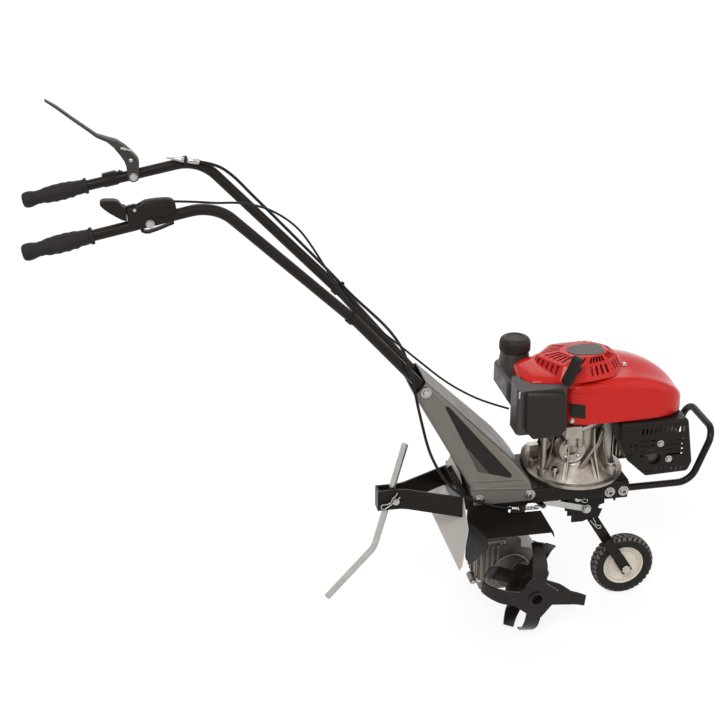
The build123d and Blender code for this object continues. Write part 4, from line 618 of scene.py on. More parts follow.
# Where the insets of body, cheeks and paddle begin, and how much the body narrows with them
THROTTLE_MIDDLE, THROTTLE_SEAT, BODY_NARROWING = -480.0, 1070.0, 0.35
CHEEK_ROOT, CHEEK_FOOT = -506.0, 1060.0
PADDLE_TIP, PADDLE_BACK = -565.0, 1083.0
THROTTLE_BODY = [(-446, 1065.5), (-445.4, 1072), (-446.4, 1080.5), (-448.6, 1087), (-452, 1090.8), (-457.5, 1093.2),
                 (-466, 1094), (-480, 1093.8), (-493, 1093), (-503, 1091.6), (-509, 1088.6), (-513, 1083),
                 (-513, 1052.5)]
BODY_ROUND = mirrored([(10.8, 0.72), (10.4, 0.82), (9.2, 0.91), (7.2, 0.97), (4, 1.0)])
THROTTLE_CHEEK = [(-503, 1090.6), (-509, 1088), (-517, 1083.4), (-525.2, 1080.8), (-534, 1080.6), (-538.3, 1078),
                  (-538.3, 1066), (-537.5, 1048), (-505, 1054)]
CHEEK_ROUND = [(4.8, 0.0), (8.6, 0.0), (10.0, 0.8), (10.6, 2.4)]
STRAP_LEAF = [(-515, 1036), (-514, 1030.5), (-506, 1027.2), (-498, 1027), (-478, 1033), (-451, 1043), (-451, 1046),
              (-478, 1037), (-498, 1031), (-506, 1031.4), (-510, 1036)]
THROTTLE_RIDGE = [(-503, -2.6), (-494, -0.4), (-458, 1.2), (-458, 2.6), (-495, 1.2), (-505, -1.4)]
RIDGE_HEIGHTS = (1087.0, 1081.4)
THROTTLE_PIVOT = (-524.0, 1076.0)
PIN_HEAD = [(10.0, 3.4), (11.2, 3.4), (12.0, 2.6), (12.3, 1.0)]
PADDLE = [(-587.4, 1089), (-587, 1093), (-585, 1096), (-581, 1097.4), (-573.6, 1097.6), (-562, 1096.8), (-555, 1095),
          (-550.4, 1091), (-547, 1085), (-543, 1082), (-540.1, 1081), (-539.2, 1070), (-539, 1055), (-544, 1055.6),
          (-551, 1059), (-561, 1065.6), (-572.6, 1073.6), (-582, 1082)]
PADDLE_ROUND = mirrored([(10, 2.0), (9.6, 0.9), (8.2, 0.2), (6, 0)])
PADDLE_HUB = arc(-110, 10, 23, 9, THROTTLE_PIVOT) + [(-544, 1081), (-544, 1066)]


class TILLER_OT_throttle(bpy.types.Operator):
    """Mould the throttle housing with its strap and cheeks, and the thumb lever between them"""
    bl_idname = "tiller.throttle"
    bl_label = "Throttle"

    def execute(self, context):
        pivot = Vector((THROTTLE_PIVOT[0], THROTTLE_Y, THROTTLE_PIVOT[1]))
        form = bmesh.new()
        skin(form, [[Vector((THROTTLE_MIDDLE + (u - THROTTLE_MIDDLE) * (1 - (1 - share) * BODY_NARROWING),
                             THROTTLE_Y + y,
                             v if v < THROTTLE_SEAT else THROTTLE_SEAT + (v - THROTTLE_SEAT) * share))
                     for u, v in THROTTLE_BODY] for y, share in BODY_ROUND])
        for side in (-1, 1):
            skin(form, [[Vector((u + (0 if u > CHEEK_ROOT else inset), THROTTLE_Y + side * y,
                                 v - (0 if v < CHEEK_FOOT else inset)))
                         for u, v in THROTTLE_CHEEK] for y, inset in CHEEK_ROUND])
        for low in RIDGE_HEIGHTS:
            flank(form, [(u, low + v) for u, v in THROTTLE_RIDGE], -1, 9.2, 1.9, THROTTLE_Y)
        flank(form, STRAP_LEAF, 1, -7, 14, THROTTLE_Y)
        turned(form, pivot, -Y, [(-5, 3.0), (5, 3.0)], 24)
        shape_piece("throttle_housing_moulded", form, "moulded_plastic_black", stands_for="throttle_housing",
                    crease=38, soften=0.6)

        form = bmesh.new()
        turned(form, pivot, -Y, PIN_HEAD, 24)
        shape_piece("throttle_pin_head", form, "zinc_plated_steel")

        form = bmesh.new()
        skin(form, [[Vector((u + inset * (0.8 if u < PADDLE_TIP else 0.0), THROTTLE_Y + y,
                             v - inset * (1 if v > PADDLE_BACK else -0.6)))
                     for u, v in PADDLE] for y, inset in PADDLE_ROUND])
        flank(form, PADDLE_HUB, 1, -4.2, 8.4, THROTTLE_Y)
        shape_piece("throttle_lever_moulded", form, "moulded_plastic_black", "throttle_lever", "throttle_lever",
                    crease=38, soften=0.5)
        return {"FINISHED"}


# Cable clips on the tubes' long stretches, and the notched stop on the left grip stretch
CLIP_SHARE, CLIP_HALF, CLIP_EAR_WIDE = 0.955, 7.0, 5.0
CLIP_PROFILE = [(0, 11.05), (0, 13.0), (0.8, 13.7), (6.2, 13.7), (6.8, 13.2), (7.2, 13.2), (7.8, 13.7), (13.2, 13.7),
                (14, 13.0), (14, 11.05)]
CLIP_EAR = [(-4, 12.5), (4, 12.5), (4, 19), (2.5, 20.5), (-2.5, 20.5), (-4, 19)]
STOP_SHARE, STOP_WIDE = 0.452, 12.0
STOP_SLEEVE = [(0, 11.05), (0, 12.0), (0.8, 12.6), (29, 12.6), (30, 12.0), (30, 11.05)]
STOP_OUTLINE = [(0, 11.5), (0, 15.5), (2, 16.6), (28, 17.0), (30, 16), (30.5, 13.6), (34, 13.6), (35, 15.4),
                (39, 15.4), (40, 13.4), (44, 12.4), (44, 10.5), (0, 10.5)]


class TILLER_OT_bar_clips(bpy.types.Operator):
    """Mould the cable clips of both tubes and the notched stop under the clutch lever"""
    bl_idname = "tiller.bar_clips"
    bl_label = "Bar Clips"

    def execute(self, context):
        form = bmesh.new()
        for side in (1, -1):
            bend, knee = on_side(BAR_BEND, side), on_side(BAR_KNEE, side)
            run = (knee - bend).normalized()
            level, up = basis(run)
            here = bend.lerp(knee, CLIP_SHARE)
            turned(form, here - run * CLIP_HALF, run, CLIP_PROFILE, 48, loop=True)
            prism(form, CLIP_EAR, CLIP_EAR_WIDE, here, run, up, level, CLIP_EAR_WIDE / 2)
        run = bar_run(1)
        level, up = basis(run)
        start = bar_point(1, STOP_SHARE)
        turned(form, start, run, STOP_SLEEVE, 48, loop=True)
        prism(form, STOP_OUTLINE, STOP_WIDE, start, run, up, level, STOP_WIDE / 2)
        shape_piece("cable_clips_moulded", form, "moulded_plastic_black", stands_for="cable_clips", soften=0.5)
        return {"FINISHED"}


# Clutch cable's two ends: profiles along the cable, and where its end hooks into the idler's arm
IDLER_HOLE = Vector((336, -92, 304))
UPPER_BODY = [(-1, 3.8), (0, 5.2), (1, 5.8), (18, 5.8), (19, 5.2), (25, 5.2)]
UPPER_TAIL = [(24, 4.2), (31, 4.2), (31.4, 5.4), (40, 5.2), (42, 4.4), (54, 3.0), (66, 1.8), (69.5, 1.2)]
LOWER_BODY = [(-1, 3.8), (0, 5.0), (1, 5.4), (12, 5.4), (13, 5.0)]
BOOT_PROFILE = [(25.5, 5.0), (25.8, 7.6), (26.6, 8.2), (29.4, 8.2), (30.2, 7.4), (30.4, 4)]
BAND_PROFILE = [(-4.5, BAR_R + 0.05), (-4.5, BAR_R + 2.4), (4.5, BAR_R + 2.4), (4.5, BAR_R + 0.05)]
END_PROFILE = [(0, 2.5), (0.6, 4.6), (8.4, 4.6), (9.0, 3.4), (9.4, 1.3)]
INNER_WIRE = [(-2 + 2 * k, 0.9) for k in range(18)]
NUT_R, NUTS = 7.0, ((18.4, 4.0), (12.6, 4.5))
BAND_SHARE, BAND_SHEET = 0.925, 2.5
THREAD_START, THREAD_STOP, THREAD_R = 12.0, 25.0, 3.4
SPRING_TURNS, SPRING_STEPS, SPRING_R, SPRING_WIRE_R = 8, 16, 4.2, 0.75
SPRING_START, SPRING_LENGTH, SPRING_REACH = 1.0, 27.0, 29.0


class TILLER_OT_adjusters(bpy.types.Operator):
    """Turn the two cable adjusters with threads, nuts, boot and return spring"""
    bl_idname = "tiller.adjusters"
    bl_label = "Cable Adjusters"

    def execute(self, context):
        upper, lower = Vector(CLUTCH_ROUTE[0]), Vector(CLUTCH_ROUTE[-1])
        upper_run = (upper - Vector(CLUTCH_ROUTE[1])).normalized()
        lower_run = (lower - Vector(CLUTCH_ROUTE[-2])).normalized()
        form = bmesh.new()
        turned(form, upper, upper_run, UPPER_BODY, 32)
        turned(form, upper, upper_run, UPPER_TAIL, 28)
        turned(form, lower, lower_run, LOWER_BODY, 32)
        turned(form, lower, lower_run, threaded(THREAD_START, THREAD_STOP, THREAD_R), 24)
        for along, depth in NUTS:
            hexagon(form, lower + lower_run * along, lower_run, NUT_R, depth)
        shape_piece("cable_adjusters_turned", form, "zinc_plated_steel", stands_for="cable_adjusters")

        form = bmesh.new()
        turned(form, upper, upper_run, BOOT_PROFILE, 36)
        shape_piece("adjuster_boot", form, "vulcanised_rubber")

        run = bar_run(1)
        here = bar_point(1, BAND_SHARE)
        form = bmesh.new()
        turned(form, here, run, BAND_PROFILE, 48, loop=True)
        hole = upper + upper_run * ((here.x - upper.x) / upper_run.x)
        out = (hole - here) - run * (hole - here).dot(run)
        reach = out.length
        out.normalize()
        strap = [(9, -6), (reach - 2, -6.5), (reach + 5, -5), (reach + 7.5, 0), (reach + 5, 5), (reach - 2, 6.5),
                 (9, 6)]
        prism(form, strap, BAND_SHEET, here, out, run.cross(out), run, BAND_SHEET / 2)
        shape_piece("adjuster_band", form, "stove_enamel_black", soften=0.4)

        # Spring and inner wire give way between the holder and the idler's arm, which pulls the cable's end
        tip = lower + lower_run * THREAD_STOP
        run = (IDLER_HOLE - tip).normalized()
        level, up = basis(run)
        form = bmesh.new()
        turned(form, tip, run, INNER_WIRE, 12)
        rings = []
        for k in range(SPRING_TURNS * SPRING_STEPS + 1):
            angle = 2 * math.pi * k / SPRING_STEPS
            ray = level * math.cos(angle) + up * math.sin(angle)
            along = SPRING_START + SPRING_LENGTH * k / (SPRING_TURNS * SPRING_STEPS)
            centre = tip + run * along + ray * SPRING_R
            rings.append([centre + ray * u + run * v for u, v in arc(0, 45, 8, SPRING_WIRE_R)])
        skin(form, rings)
        spring = shape_piece("clutch_return_spring", form, "oiled_dark_steel", None, crease=60)
        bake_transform(spring)
        form = bmesh.new()
        last = ((IDLER_HOLE - tip).length - SPRING_REACH - 1, END_PROFILE[-1][1])
        turned(form, tip + run * SPRING_REACH, run, END_PROFILE + [last], 24)
        shape_piece("clutch_cable_end", form, "zinc_plated_steel", "idler")
        return {"FINISHED"}


# Column sides: upright to the shoulder, then leaning in by the inset over the rise
COLUMN_HALF, COLUMN_SHOULDER = 90.0, 365.0
COLUMN_INSET, COLUMN_RISE = 33.0, 235.0
PLATE_OUTLINE = [(112.2, 556.7), (116.5, 558.3), (121, 556.6), (260.2, 390), (260.9, 384.8), (255.9, 382.6),
                 (184.5, 403.6)]
WEDGE_OUTLINE = [(183.0, 405.5), (159.2, 459.5), (163.4, 456.7), (210, 396.0)]
BEAD_LINES = ([(171, 381.5), (288, 376)], [(173, 363.5), (304, 352)])
BEAD_HALF, BEAD_RISE, BEAD_SUNK = 3.4, 2.4, 0.4
BEAD_LIFT = ((0.0, 0.2), (0.02, 1.0), (0.5, 1.0), (0.98, 1.0), (1.0, 0.2))
DOUBLER_INNER, DOUBLER_SHEET = 85.7, 1.6
DECK_END = [(470, 345.0), (535.5, 343.0), (533, 303.8), (482, 303.8), (470, 312.4)]
FRAME_BOLTS = ((491, 321), (523, 321), (187, 337), (303, 337))
STAY_CHANNEL = [(0, 0), (0, 13), (2, 13), (2, 2), (26, 2), (26, 13), (28, 13), (28, 0)]
STAY_ENDS, STAY_Y, STAY_LEAN = ((133, 408), (168, 336)), -78.0, (0.75, 0.45)
SHADE_DISC_PROFILE = [(-0.5, 4.2), (0.25, 4.2), (0.4, 3.8)]
PLATE_SUNK, WEDGE_SHEET = 0.15, 1.3


class TILLER_OT_column_trim(bpy.types.Operator):
    """Dress the column's sides and the deck: plates, pressed beads, doublers, dark discs of painted shade on the bolt
    heads, and the stay
    """
    bl_idname = "tiller.column_trim"
    bl_label = "Column Trim"

    def execute(self, context):
        thick = context.scene.tiller_sizes.plate / MM
        lean = COLUMN_INSET / COLUMN_RISE
        for side, name in ((-1, "right"), (1, "left")):
            out = Vector((0, side * COLUMN_RISE, COLUMN_INSET)).normalized()
            up = Vector((0, -side * lean, 1))
            origin = Y * side * (COLUMN_HALF + COLUMN_SHOULDER * lean)
            form = bmesh.new()
            prism(form, PLATE_OUTLINE, thick + PLATE_SUNK, origin, X, up, out, PLATE_SUNK)
            shape_piece(f"column_plate_{name}", form, "bare_plate_dark", soften=0.3)
            form = bmesh.new()
            prism(form, WEDGE_OUTLINE, WEDGE_SHEET, origin, X, up, out, PLATE_SUNK)
            shape_piece(f"column_wedge_{name}", form, "bare_plate_grey", soften=0.4)
            form = bmesh.new()
            for line in BEAD_LINES:
                rings = []
                for share, lift in BEAD_LIFT:
                    u, v = (p + (q - p) * share for p, q in zip(*line))
                    face = Y * side if v < COLUMN_SHOULDER else out
                    base = Vector((u, side * (COLUMN_HALF - max(0.0, v - COLUMN_SHOULDER) * lean), v))
                    rings.append([base + Z * BEAD_HALF * c + face * (BEAD_RISE * lift * s - BEAD_SUNK)
                                  for c, s in arc(-30, 20, 13, 1)])
                skin(form, rings)
            shape_piece(f"column_beads_{name}", form, "flake_enamel_silver", crease=50)
        # Doubler plates on the front ends of the deck's sides
        form = bmesh.new()
        for side in (-1, 1):
            flank(form, DECK_END, side, DOUBLER_INNER, DOUBLER_SHEET)
        shape_piece("deck_doublers", form, "stove_enamel_black", soften=0.5)
        # Dark steel discs on the heads of the frame bolts: painted shade that stands for their recesses
        form = bmesh.new()
        for side, (x, z) in product((-1, 1), FRAME_BOLTS):
            place, _ = seat("frame_bolts", (x, side * 200, z), -Y * side)
            turned(form, place, Y * side, SHADE_DISC_PROFILE, 24)
        shape_piece("bolt_shade_discs", form, "oiled_dark_steel")
        # Folded stay behind the near foot; the lighter edges of its black enamel stand partly for painted highlights
        form = bmesh.new()
        skin(form, [[Vector((x - v * STAY_LEAN[0], STAY_Y + u, z - v * STAY_LEAN[1])) for u, v in STAY_CHANNEL]
                    for x, z in STAY_ENDS])
        shape_piece("column_stay", form, "stove_enamel_black", soften=0.6)
        return {"FINISHED"}


# Spring clip: a straight leg, a loop and a waved leg
CLIP_SHAPE = [(-15, 0), (-5, 0), (6, 0), (16, 0.2), (22, 1), (25.5, 4.5), (25, 9.5), (20.5, 11.5), (16, 8.5),
              (11, 4.5), (6, 3.4), (1.5, 5.4), (-2.5, 8.8), (-7, 7.6), (-12, 8.6), (-17, 11.5)]
# Name, body, middle, direction along and across, size and wire of each clip
SPRING_CLIPS = (
    ("drag_pin_clip", "chassis", (12, -21.5, 311), (-0.78, 0, -0.62), (-0.62, 0, 0.78), 1.2, 2.6),
    ("lock_pin_clip", "chassis", (438, -31.5, 280), (0.74, 0, -0.67), (0.67, 0, 0.74), 0.95, 2.2),
    ("leg_pin_clip", "leg", (484, -17.6, 200), (0.62, 0, -0.78), (0.78, 0, 0.62), 0.85, 2.2),
)


class TILLER_OT_clips(bpy.types.Operator):
    """Bend the spring clips of the drag bar pin, the leg's lock pin and the leg"""
    bl_idname = "tiller.clips"
    bl_label = "Spring Clips"

    def execute(self, context):
        for name, body, middle, along, across, size, diameter in SPRING_CLIPS:
            points = [Vector(middle) + Vector(along) * u * size + Vector(across) * v * size for u, v in CLIP_SHAPE]
            wire(name, points, diameter, "zinc_plated_steel", body)
        return {"FINISHED"}


# Front wheel: halves of the tyre's and the rim's profile as (distance from the middle, radius), and the leg's lugs
WHEEL = Vector((568, 0, 75))
TYRE_R, SHOULDER_R, SHOULDER_FADE = 75.0, 64.4, 4.0
TYRE_HALF = [(13.2, 49.1), (14.6, 50.4), (16.2, 51.0), (16.6, 52.6), (16.2, 53.4), (17.2, 55.0), (17.9, 57.5),
             (18.0, 60.0), (17.9, 62.5), (18.0, 64.4), (17.7, 66.4), (17.0, 68.6), (15.8, 70.4), (14.2, 71.9),
             (12.0, 73.1), (9.6, 73.9), (7.2, 74.4), (4.8, 74.8), (2.4, 74.95)]
TREAD_ROWS = [[(0.6, 75.0), (2.8, 74.9), (5.2, 74.7), (7.2, 74.4)],
              [(8.4, 74.1), (10.4, 73.6), (12.6, 72.8), (14.6, 71.6), (16.0, 70.1)]]
# Tread blocks, as shares of their pitch: half widths at foot and top, the far side's lag and the slant of the rows
BLOCK_FOOT, BLOCK_TOP, BLOCK_LAG, BLOCK_SLANT = 0.33, 0.30, 0.25, 0.24
ROW_MIDDLE, BLOCK_SUNK = 8.0, 1.0
RIM_HALF = [(21.7, 6.1), (21.7, 11.6), (21.0, 12.6), (11.0, 14.2), (9.0, 15.6), (8.2, 18.5), (6.6, 34.0), (7.4, 36.6),
            (9.6, 38.0), (10.2, 39.6), (9.4, 41.0), (9.4, 43.4), (12.0, 44.6), (13.1, 45.6), (13.3, 48.0),
            (12.8, 48.95)]
LEG_RUN = Vector((104, 0, -168)).normalized()
FORK_TIP_INNER, FORK_TIP_WIDE = 22.1, 4.9
FORK_TIP = [(-34, -13), (12, -13), (12, 13), (-34, 13)]
LUG_INNER, LUG_SHEET, LUG_ROOM = 13.0, 3.0, 0.1
LUG_OUTLINE = [(424, 298), (500, 298), (508, 261), (508, 251), (496, 248), (492.6, 243), (494, 238.7), (504, 236),
               (497, 217), (473, 214), (458, 208), (431, 208.5), (430.5, 239), (414.6, 239.5), (413, 251), (424, 258)]


class TILLER_OT_wheel(bpy.types.Operator):
    """Mould the front tyre with its tread blocks and the stepped rim, and square off the fork and its lugs"""
    bl_idname = "tiller.wheel"
    bl_label = "Front Wheel"

    def execute(self, context):
        sizes = context.scene.tiller_sizes
        depth, blocks = sizes.tread / MM, sizes.tread_blocks
        carcass = [(y, r - depth * min(1.0, max(0.0, (r - SHOULDER_R) / SHOULDER_FADE))) for y, r in TYRE_HALF]
        form = bmesh.new()
        turned(form, WHEEL, Y, mirrored(carcass, [(0.0, TYRE_R - depth)]), blocks * 4, loop=True)
        shape_piece("front_tyre_moulded", form, "tyre_rubber", "front_wheel", "front_tyre", crease=34)

        form = bmesh.new()
        pitch = 2 * math.pi / blocks
        for side, k, row in product((-1, 1), range(blocks), (0, 1)):
            rings = []
            for y, r in TREAD_ROWS[row]:
                middle = k + 0.5 * row + (BLOCK_LAG if side > 0 else 0.0)
                middle += BLOCK_SLANT * abs(y - ROW_MIDDLE) / ROW_MIDDLE
                foot = r - depth - BLOCK_SUNK
                ring = [(middle - BLOCK_FOOT, foot), (middle - BLOCK_TOP, r), (middle + BLOCK_TOP, r),
                        (middle + BLOCK_FOOT, foot)]
                rings.append([WHEEL + Vector((math.cos(a * pitch) * q, side * y, math.sin(a * pitch) * q))
                              for a, q in ring])
            skin(form, rings)
        shape_piece("front_tread_blocks", form, "dusty_tread_rubber", "front_wheel", crease=34)

        form = bmesh.new()
        turned(form, WHEEL, Y, mirrored(RIM_HALF), 96, loop=True)
        shape_piece("front_rim_moulded", form, "moulded_nylon_cream", "front_wheel", "front_rim", crease=30)

        # Square ends of the fork arms, folded over the arms
        form = bmesh.new()
        for side in (-1, 1):
            prism(form, FORK_TIP, FORK_TIP_WIDE, WHEEL + Y * side * FORK_TIP_INNER, LEG_RUN,
                  Vector((-LEG_RUN.z, 0, LEG_RUN.x)), Y * side)
        shape_piece("fork_tips", form, "stove_enamel_black", "leg", soften=0.8)

        # Full outline of the two lugs that carry the leg, with the notch for its folded place
        form = bmesh.new()
        for side in (-1, 1):
            flank(form, LUG_OUTLINE, side, LUG_INNER + LUG_ROOM, LUG_SHEET - 2 * LUG_ROOM)
        shape_piece("bracket_lugs", form, "stove_enamel_black")
        return {"FINISHED"}


# Starter rope's exit and direction, and the handle as (along, half width, half depth) rows
STARTER_RUN = Vector((-0.62, -0.76, 0.19)).normalized()
STARTER_EXIT = Vector((401, -76, 629))
HANDLE_LEAN = Vector((0.36, 0.0, 0.93)).normalized()
HANDLE_ROWS = [(-33, 8.6, 5.6), (-32.6, 10.4, 7.2), (-31, 11.8, 8.6), (-25, 12.8, 9.8), (-16, 12.4, 9.6),
               (-8, 11.8, 9.2), (0, 11.4, 9.0), (8, 11.2, 9.0), (16, 11.4, 9.1), (24, 11.6, 9.2), (30, 11.0, 8.4),
               (32.4, 9.4, 7.0), (33, 7.4, 5.4)]
HANDLE_STEPS, HANDLE_SQUARE = 32, 0.62
HANDLE_REACH, HANDLE_RISE = 37.0, 2.0
HANDLE_NECK = [(20, 4.6), (20.6, 6.4), (26, 7.0), (33, 9.6)]
ROPE_PROFILE, ROPE_BRAID = [(-100, 2.0), (30, 2.0)], 0.12
GROMMET_PROFILE = [(2, 9.4), (9.0, 9.4), (10.4, 8.8), (11.0, 7.0), (15.0, 6.2), (18.4, 5.6), (19.4, 4.4), (19.4, 2.3),
                   (2, 2.3)]


class TILLER_OT_starter(bpy.types.Operator):
    """Mould the starter handle and lay its rope"""
    bl_idname = "tiller.starter"
    bl_label = "Starter"

    def execute(self, context):
        middle = STARTER_EXIT + STARTER_RUN * HANDLE_REACH + HANDLE_LEAN * HANDLE_RISE
        across = STARTER_RUN.cross(HANDLE_LEAN).normalized()
        inward = HANDLE_LEAN.cross(across).normalized()
        corners = [squarish(2 * math.pi * k / HANDLE_STEPS, HANDLE_SQUARE, HANDLE_SQUARE)
                   for k in range(HANDLE_STEPS)]
        form = bmesh.new()
        skin(form, [[middle + HANDLE_LEAN * along + across * wide * u + inward * deep * v for u, v in corners]
                    for along, wide, deep in HANDLE_ROWS])
        turned(form, STARTER_EXIT, STARTER_RUN, HANDLE_NECK, 32)
        shape_piece("starter_handle_moulded", form, "moulded_plastic_black", "starter", "starter_handle", crease=40)

        form = bmesh.new()
        turned(form, STARTER_EXIT, STARTER_RUN, ROPE_PROFILE, 16,
               lambda along, angle: ROPE_BRAID * math.cos(4 * angle))
        shape_piece("starter_rope", form, "braided_nylon_black", "starter")
        return {"FINISHED"}


# The engine's upright axis
ENGINE_X = 431.0
# Recoil cover: corners of the dome's slotted ring and of its base, seen from above
DOME_STEPS = 144
DOME_CENTRE = Vector((420, -8))
DOME_CORNERS = [(332, 0), (372, -66), (421, -77), (474, -62), (508, -28), (502, 22), (466, 56), (380, 52)]
BASE_CENTRE = Vector((417, 0))
DOME_BASE = [(417 + 112 * u, 95 * v) for u, v in arc(11, 60, 6, 1)]
CROWN_CENTRE, CROWN_SHARE = Vector((435, -12)), 0.58
# Rings of the dome: height, share from the base to the slotted ring, step outward and share of the crown
DOME_LEVELS = ((585.5, 0, 0, 0), (594, 0.1, 0, 0), (602, 0.55, 13, 0), (604, 0.75, 14.5, 0), (607, 0.9, 13.6, 0),
               (629.5, 1, 2.6, 0), (631.4, 1, 1.0, 0), (632.6, 1, -1.6, 0), (641.4, 1, 0, 0.93), (642.2, 1, 0, 1.0),
               (642.0, 1, -3.5, 1.0))
# Upper and lower slots on each side of the dome; the rope takes the place of one of them
DOME_SLOTS = ((5, 5), (3, 0), (5, 4), (3, 3), (4, 4), (4, 3), (6, 6), (5, 5))
ROPE_SLOT = (1, 0, 1)
# Size and place of the slots, and the edges of the dome that they lie between
SLOT_R, SLOT_DEPTH, SLOT_SPACING, SLOT_MIDDLE = 2.7, 14.0, 0.86, 0.52
SLOT_LENGTH = (0.36, 0.38)
RING_Z, CROWN_Z, SKIRT_Z, SKIRT_OUT = 632.0, 642.0, 607.0, 13.0
DOME_WALL, DOME_CREASE = 2.4, 24.0
# Rear hood: heights of its foot and edge; x, near edge, far edge, shoulder height and crown height
HOOD_FOOT, HOOD_EDGE = 587.0, 594.0
HOOD_STATIONS = [(284, -50, 14, 598, 606), (286, -55, 18, 599, 609), (294, -64, 24, 601, 613), (306, -71, 29, 603, 617),
                 (325, -77, 36, 604, 619), (350, -81, 52, 604, 619), (380, -84, 60, 603, 617), (405, -82, 60, 601, 612),
                 (430, -78, 56, 599, 607), (455, -72, 50, 596, 602)]


def polar_ring(corners, centre, count, rounds):
    """Points round a many-sided outline at even angles, with its corners eased."""
    ways = arc(0, 360 / count, count, 1)
    reach = []
    for way in map(Vector, ways):
        best = 0.0
        for a, b in zip(corners, corners[1:] + corners[:1]):
            start, side = Vector(a) - centre, Vector(b) - Vector(a)
            cross = way.x * side.y - way.y * side.x
            if abs(cross) < 1e-9:
                continue
            far = (start.x * side.y - start.y * side.x) / cross
            share = (start.x * way.y - start.y * way.x) / cross
            if far > 0 and -1e-6 <= share <= 1 + 1e-6:
                best = max(best, far)
        reach.append(best)
    for _ in range(rounds):
        reach = [(reach[k - 1] + 2 * reach[k] + reach[(k + 1) % count]) / 4 for k in range(count)]
    return [(centre.x + far * c, centre.y + far * s) for (c, s), far in zip(ways, reach)]


def cut_slots(obj, form, crease):
    """Cut a form, drawn in millimetres, out of an object for good."""
    tool = bpy.data.objects.new("slots", mesh_from(form, "slots"))
    bpy.context.scene.collection.objects.link(tool)
    cut = obj.modifiers.new("slots", "BOOLEAN")
    cut.operation = "DIFFERENCE"
    cut.solver = "EXACT"
    cut.object = tool
    done = bpy.data.meshes.new_from_object(obj.evaluated_get(bpy.context.evaluated_depsgraph_get()))
    obj.modifiers.clear()
    obj.data = done
    bpy.data.objects.remove(tool)
    smoothed(done, crease)


class TILLER_OT_recoil_cover(bpy.types.Operator):
    """Mould the recoil cover: an eight-sided slotted dome, the smooth rear hood, the ledge and the rope's grommet"""
    bl_idname = "tiller.recoil_cover"
    bl_label = "Recoil Cover"

    def execute(self, context):
        base = polar_ring(DOME_BASE, BASE_CENTRE, DOME_STEPS, 14)
        ring = polar_ring(DOME_CORNERS, DOME_CENTRE, DOME_STEPS, 5)
        rings = []
        for z, share, step, crown in DOME_LEVELS:
            level = []
            for low, high in zip(base, ring):
                x, y = (p + (q - p) * share for p, q in zip(low, high))
                place = Vector((x, y)) + Vector((x - DOME_CENTRE.x, y - DOME_CENTRE.y)).normalized() * step
                level.append((*place.lerp(CROWN_CENTRE + (place - DOME_CENTRE) * CROWN_SHARE, crown), z))
            rings.append(level)
        form = bmesh.new()
        skin(form, rings, ends=False)
        form.faces.new(list(form.verts)[-DOME_STEPS:])
        cover = shape_piece("recoil_cover_moulded", form, "gloss_enamel_red", crease=DOME_CREASE)
        wall = cover.modifiers.new("wall", "SOLIDIFY")
        wall.thickness = DOME_WALL * MM
        wall.offset = -1.0

        form = bmesh.new()
        for number, counts in enumerate(DOME_SLOTS):
            first, second = (Vector(DOME_CORNERS[n % len(DOME_CORNERS)]) for n in (number, number + 1))
            side = (second - first).to_3d().normalized()
            for tier, k in [(tier, k) for tier in (0, 1) for k in range(counts[tier])]:
                if (number, tier, k) == ROPE_SLOT:
                    continue
                share = 0.5 + (k - (counts[tier] - 1) / 2) * (SLOT_SPACING / max(counts[tier], 4))
                edge = first.lerp(second, share)
                away = edge - DOME_CENTRE
                low = high = Vector((*edge, RING_Z))
                if tier == 0:
                    high = Vector((*(CROWN_CENTRE + away * CROWN_SHARE), CROWN_Z))
                else:
                    low = Vector((*(edge + away.normalized() * SKIRT_OUT), SKIRT_Z))
                along = (high - low).normalized()
                out = side.cross(along).normalized()
                half = (high - low).length * SLOT_LENGTH[tier] - SLOT_R
                outline = arc(-90, 30, 7, SLOT_R, (half, 0)) + arc(90, 30, 7, SLOT_R, (-half, 0))
                prism(form, outline, SLOT_DEPTH, low.lerp(high, SLOT_MIDDLE), along, side, out, SLOT_DEPTH / 2)
        cut_slots(cover, form, DOME_CREASE)
        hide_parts("recoil_cover")

        form = bmesh.new()
        tables = [[(row[0], row[n]) for row in HOOD_STATIONS] for n in (1, 2, 3, 4)]
        rings = []
        for x in stations(tables[0], 5):
            near, far, shoulder, crown = (eased(table, x) for table in tables)
            half = (far - near) / 2
            section = [(-half, HOOD_FOOT), (-half, HOOD_EDGE)]
            for k in range(25):
                c, s = squarish(math.radians(180 - 7.5 * k), 0.7, 0.8)
                section.append((half * c, shoulder - 6 + (crown - shoulder + 6) * s + 8 * c * s))
            section += [(half, HOOD_EDGE), (half, HOOD_FOOT)]
            rings.append([Vector((x, near + half + u, v)) for u, v in section])
        skin(form, rings)
        shape_piece("recoil_hood", form, "gloss_enamel_red", crease=50)

        # Ledge where the cover meets the near side of the cowl
        rings = []
        for k, (c, s) in enumerate(arc(-142, 2.6, 33, 1)):
            fade = min(1.0, k / 3, (32 - k) / 3)
            rings.append([Vector((ENGINE_X + r * c, r * s, z)) for r, z in (
                (96.2 + fade, 576), (96.2 + fade, 586 + fade), (95.6 + 0.4 * fade, 589.5), (92, 592.6), (86, 595),
                (78, 596), (78, 576))])
        form = bmesh.new()
        skin(form, rings)
        shape_piece("recoil_ledge", form, "gloss_enamel_red", crease=50)

        form = bmesh.new()
        turned(form, STARTER_EXIT, STARTER_RUN, GROMMET_PROFILE, 36, loop=True)
        shape_piece("starter_grommet", form, "vulcanised_rubber")
        return {"FINISHED"}


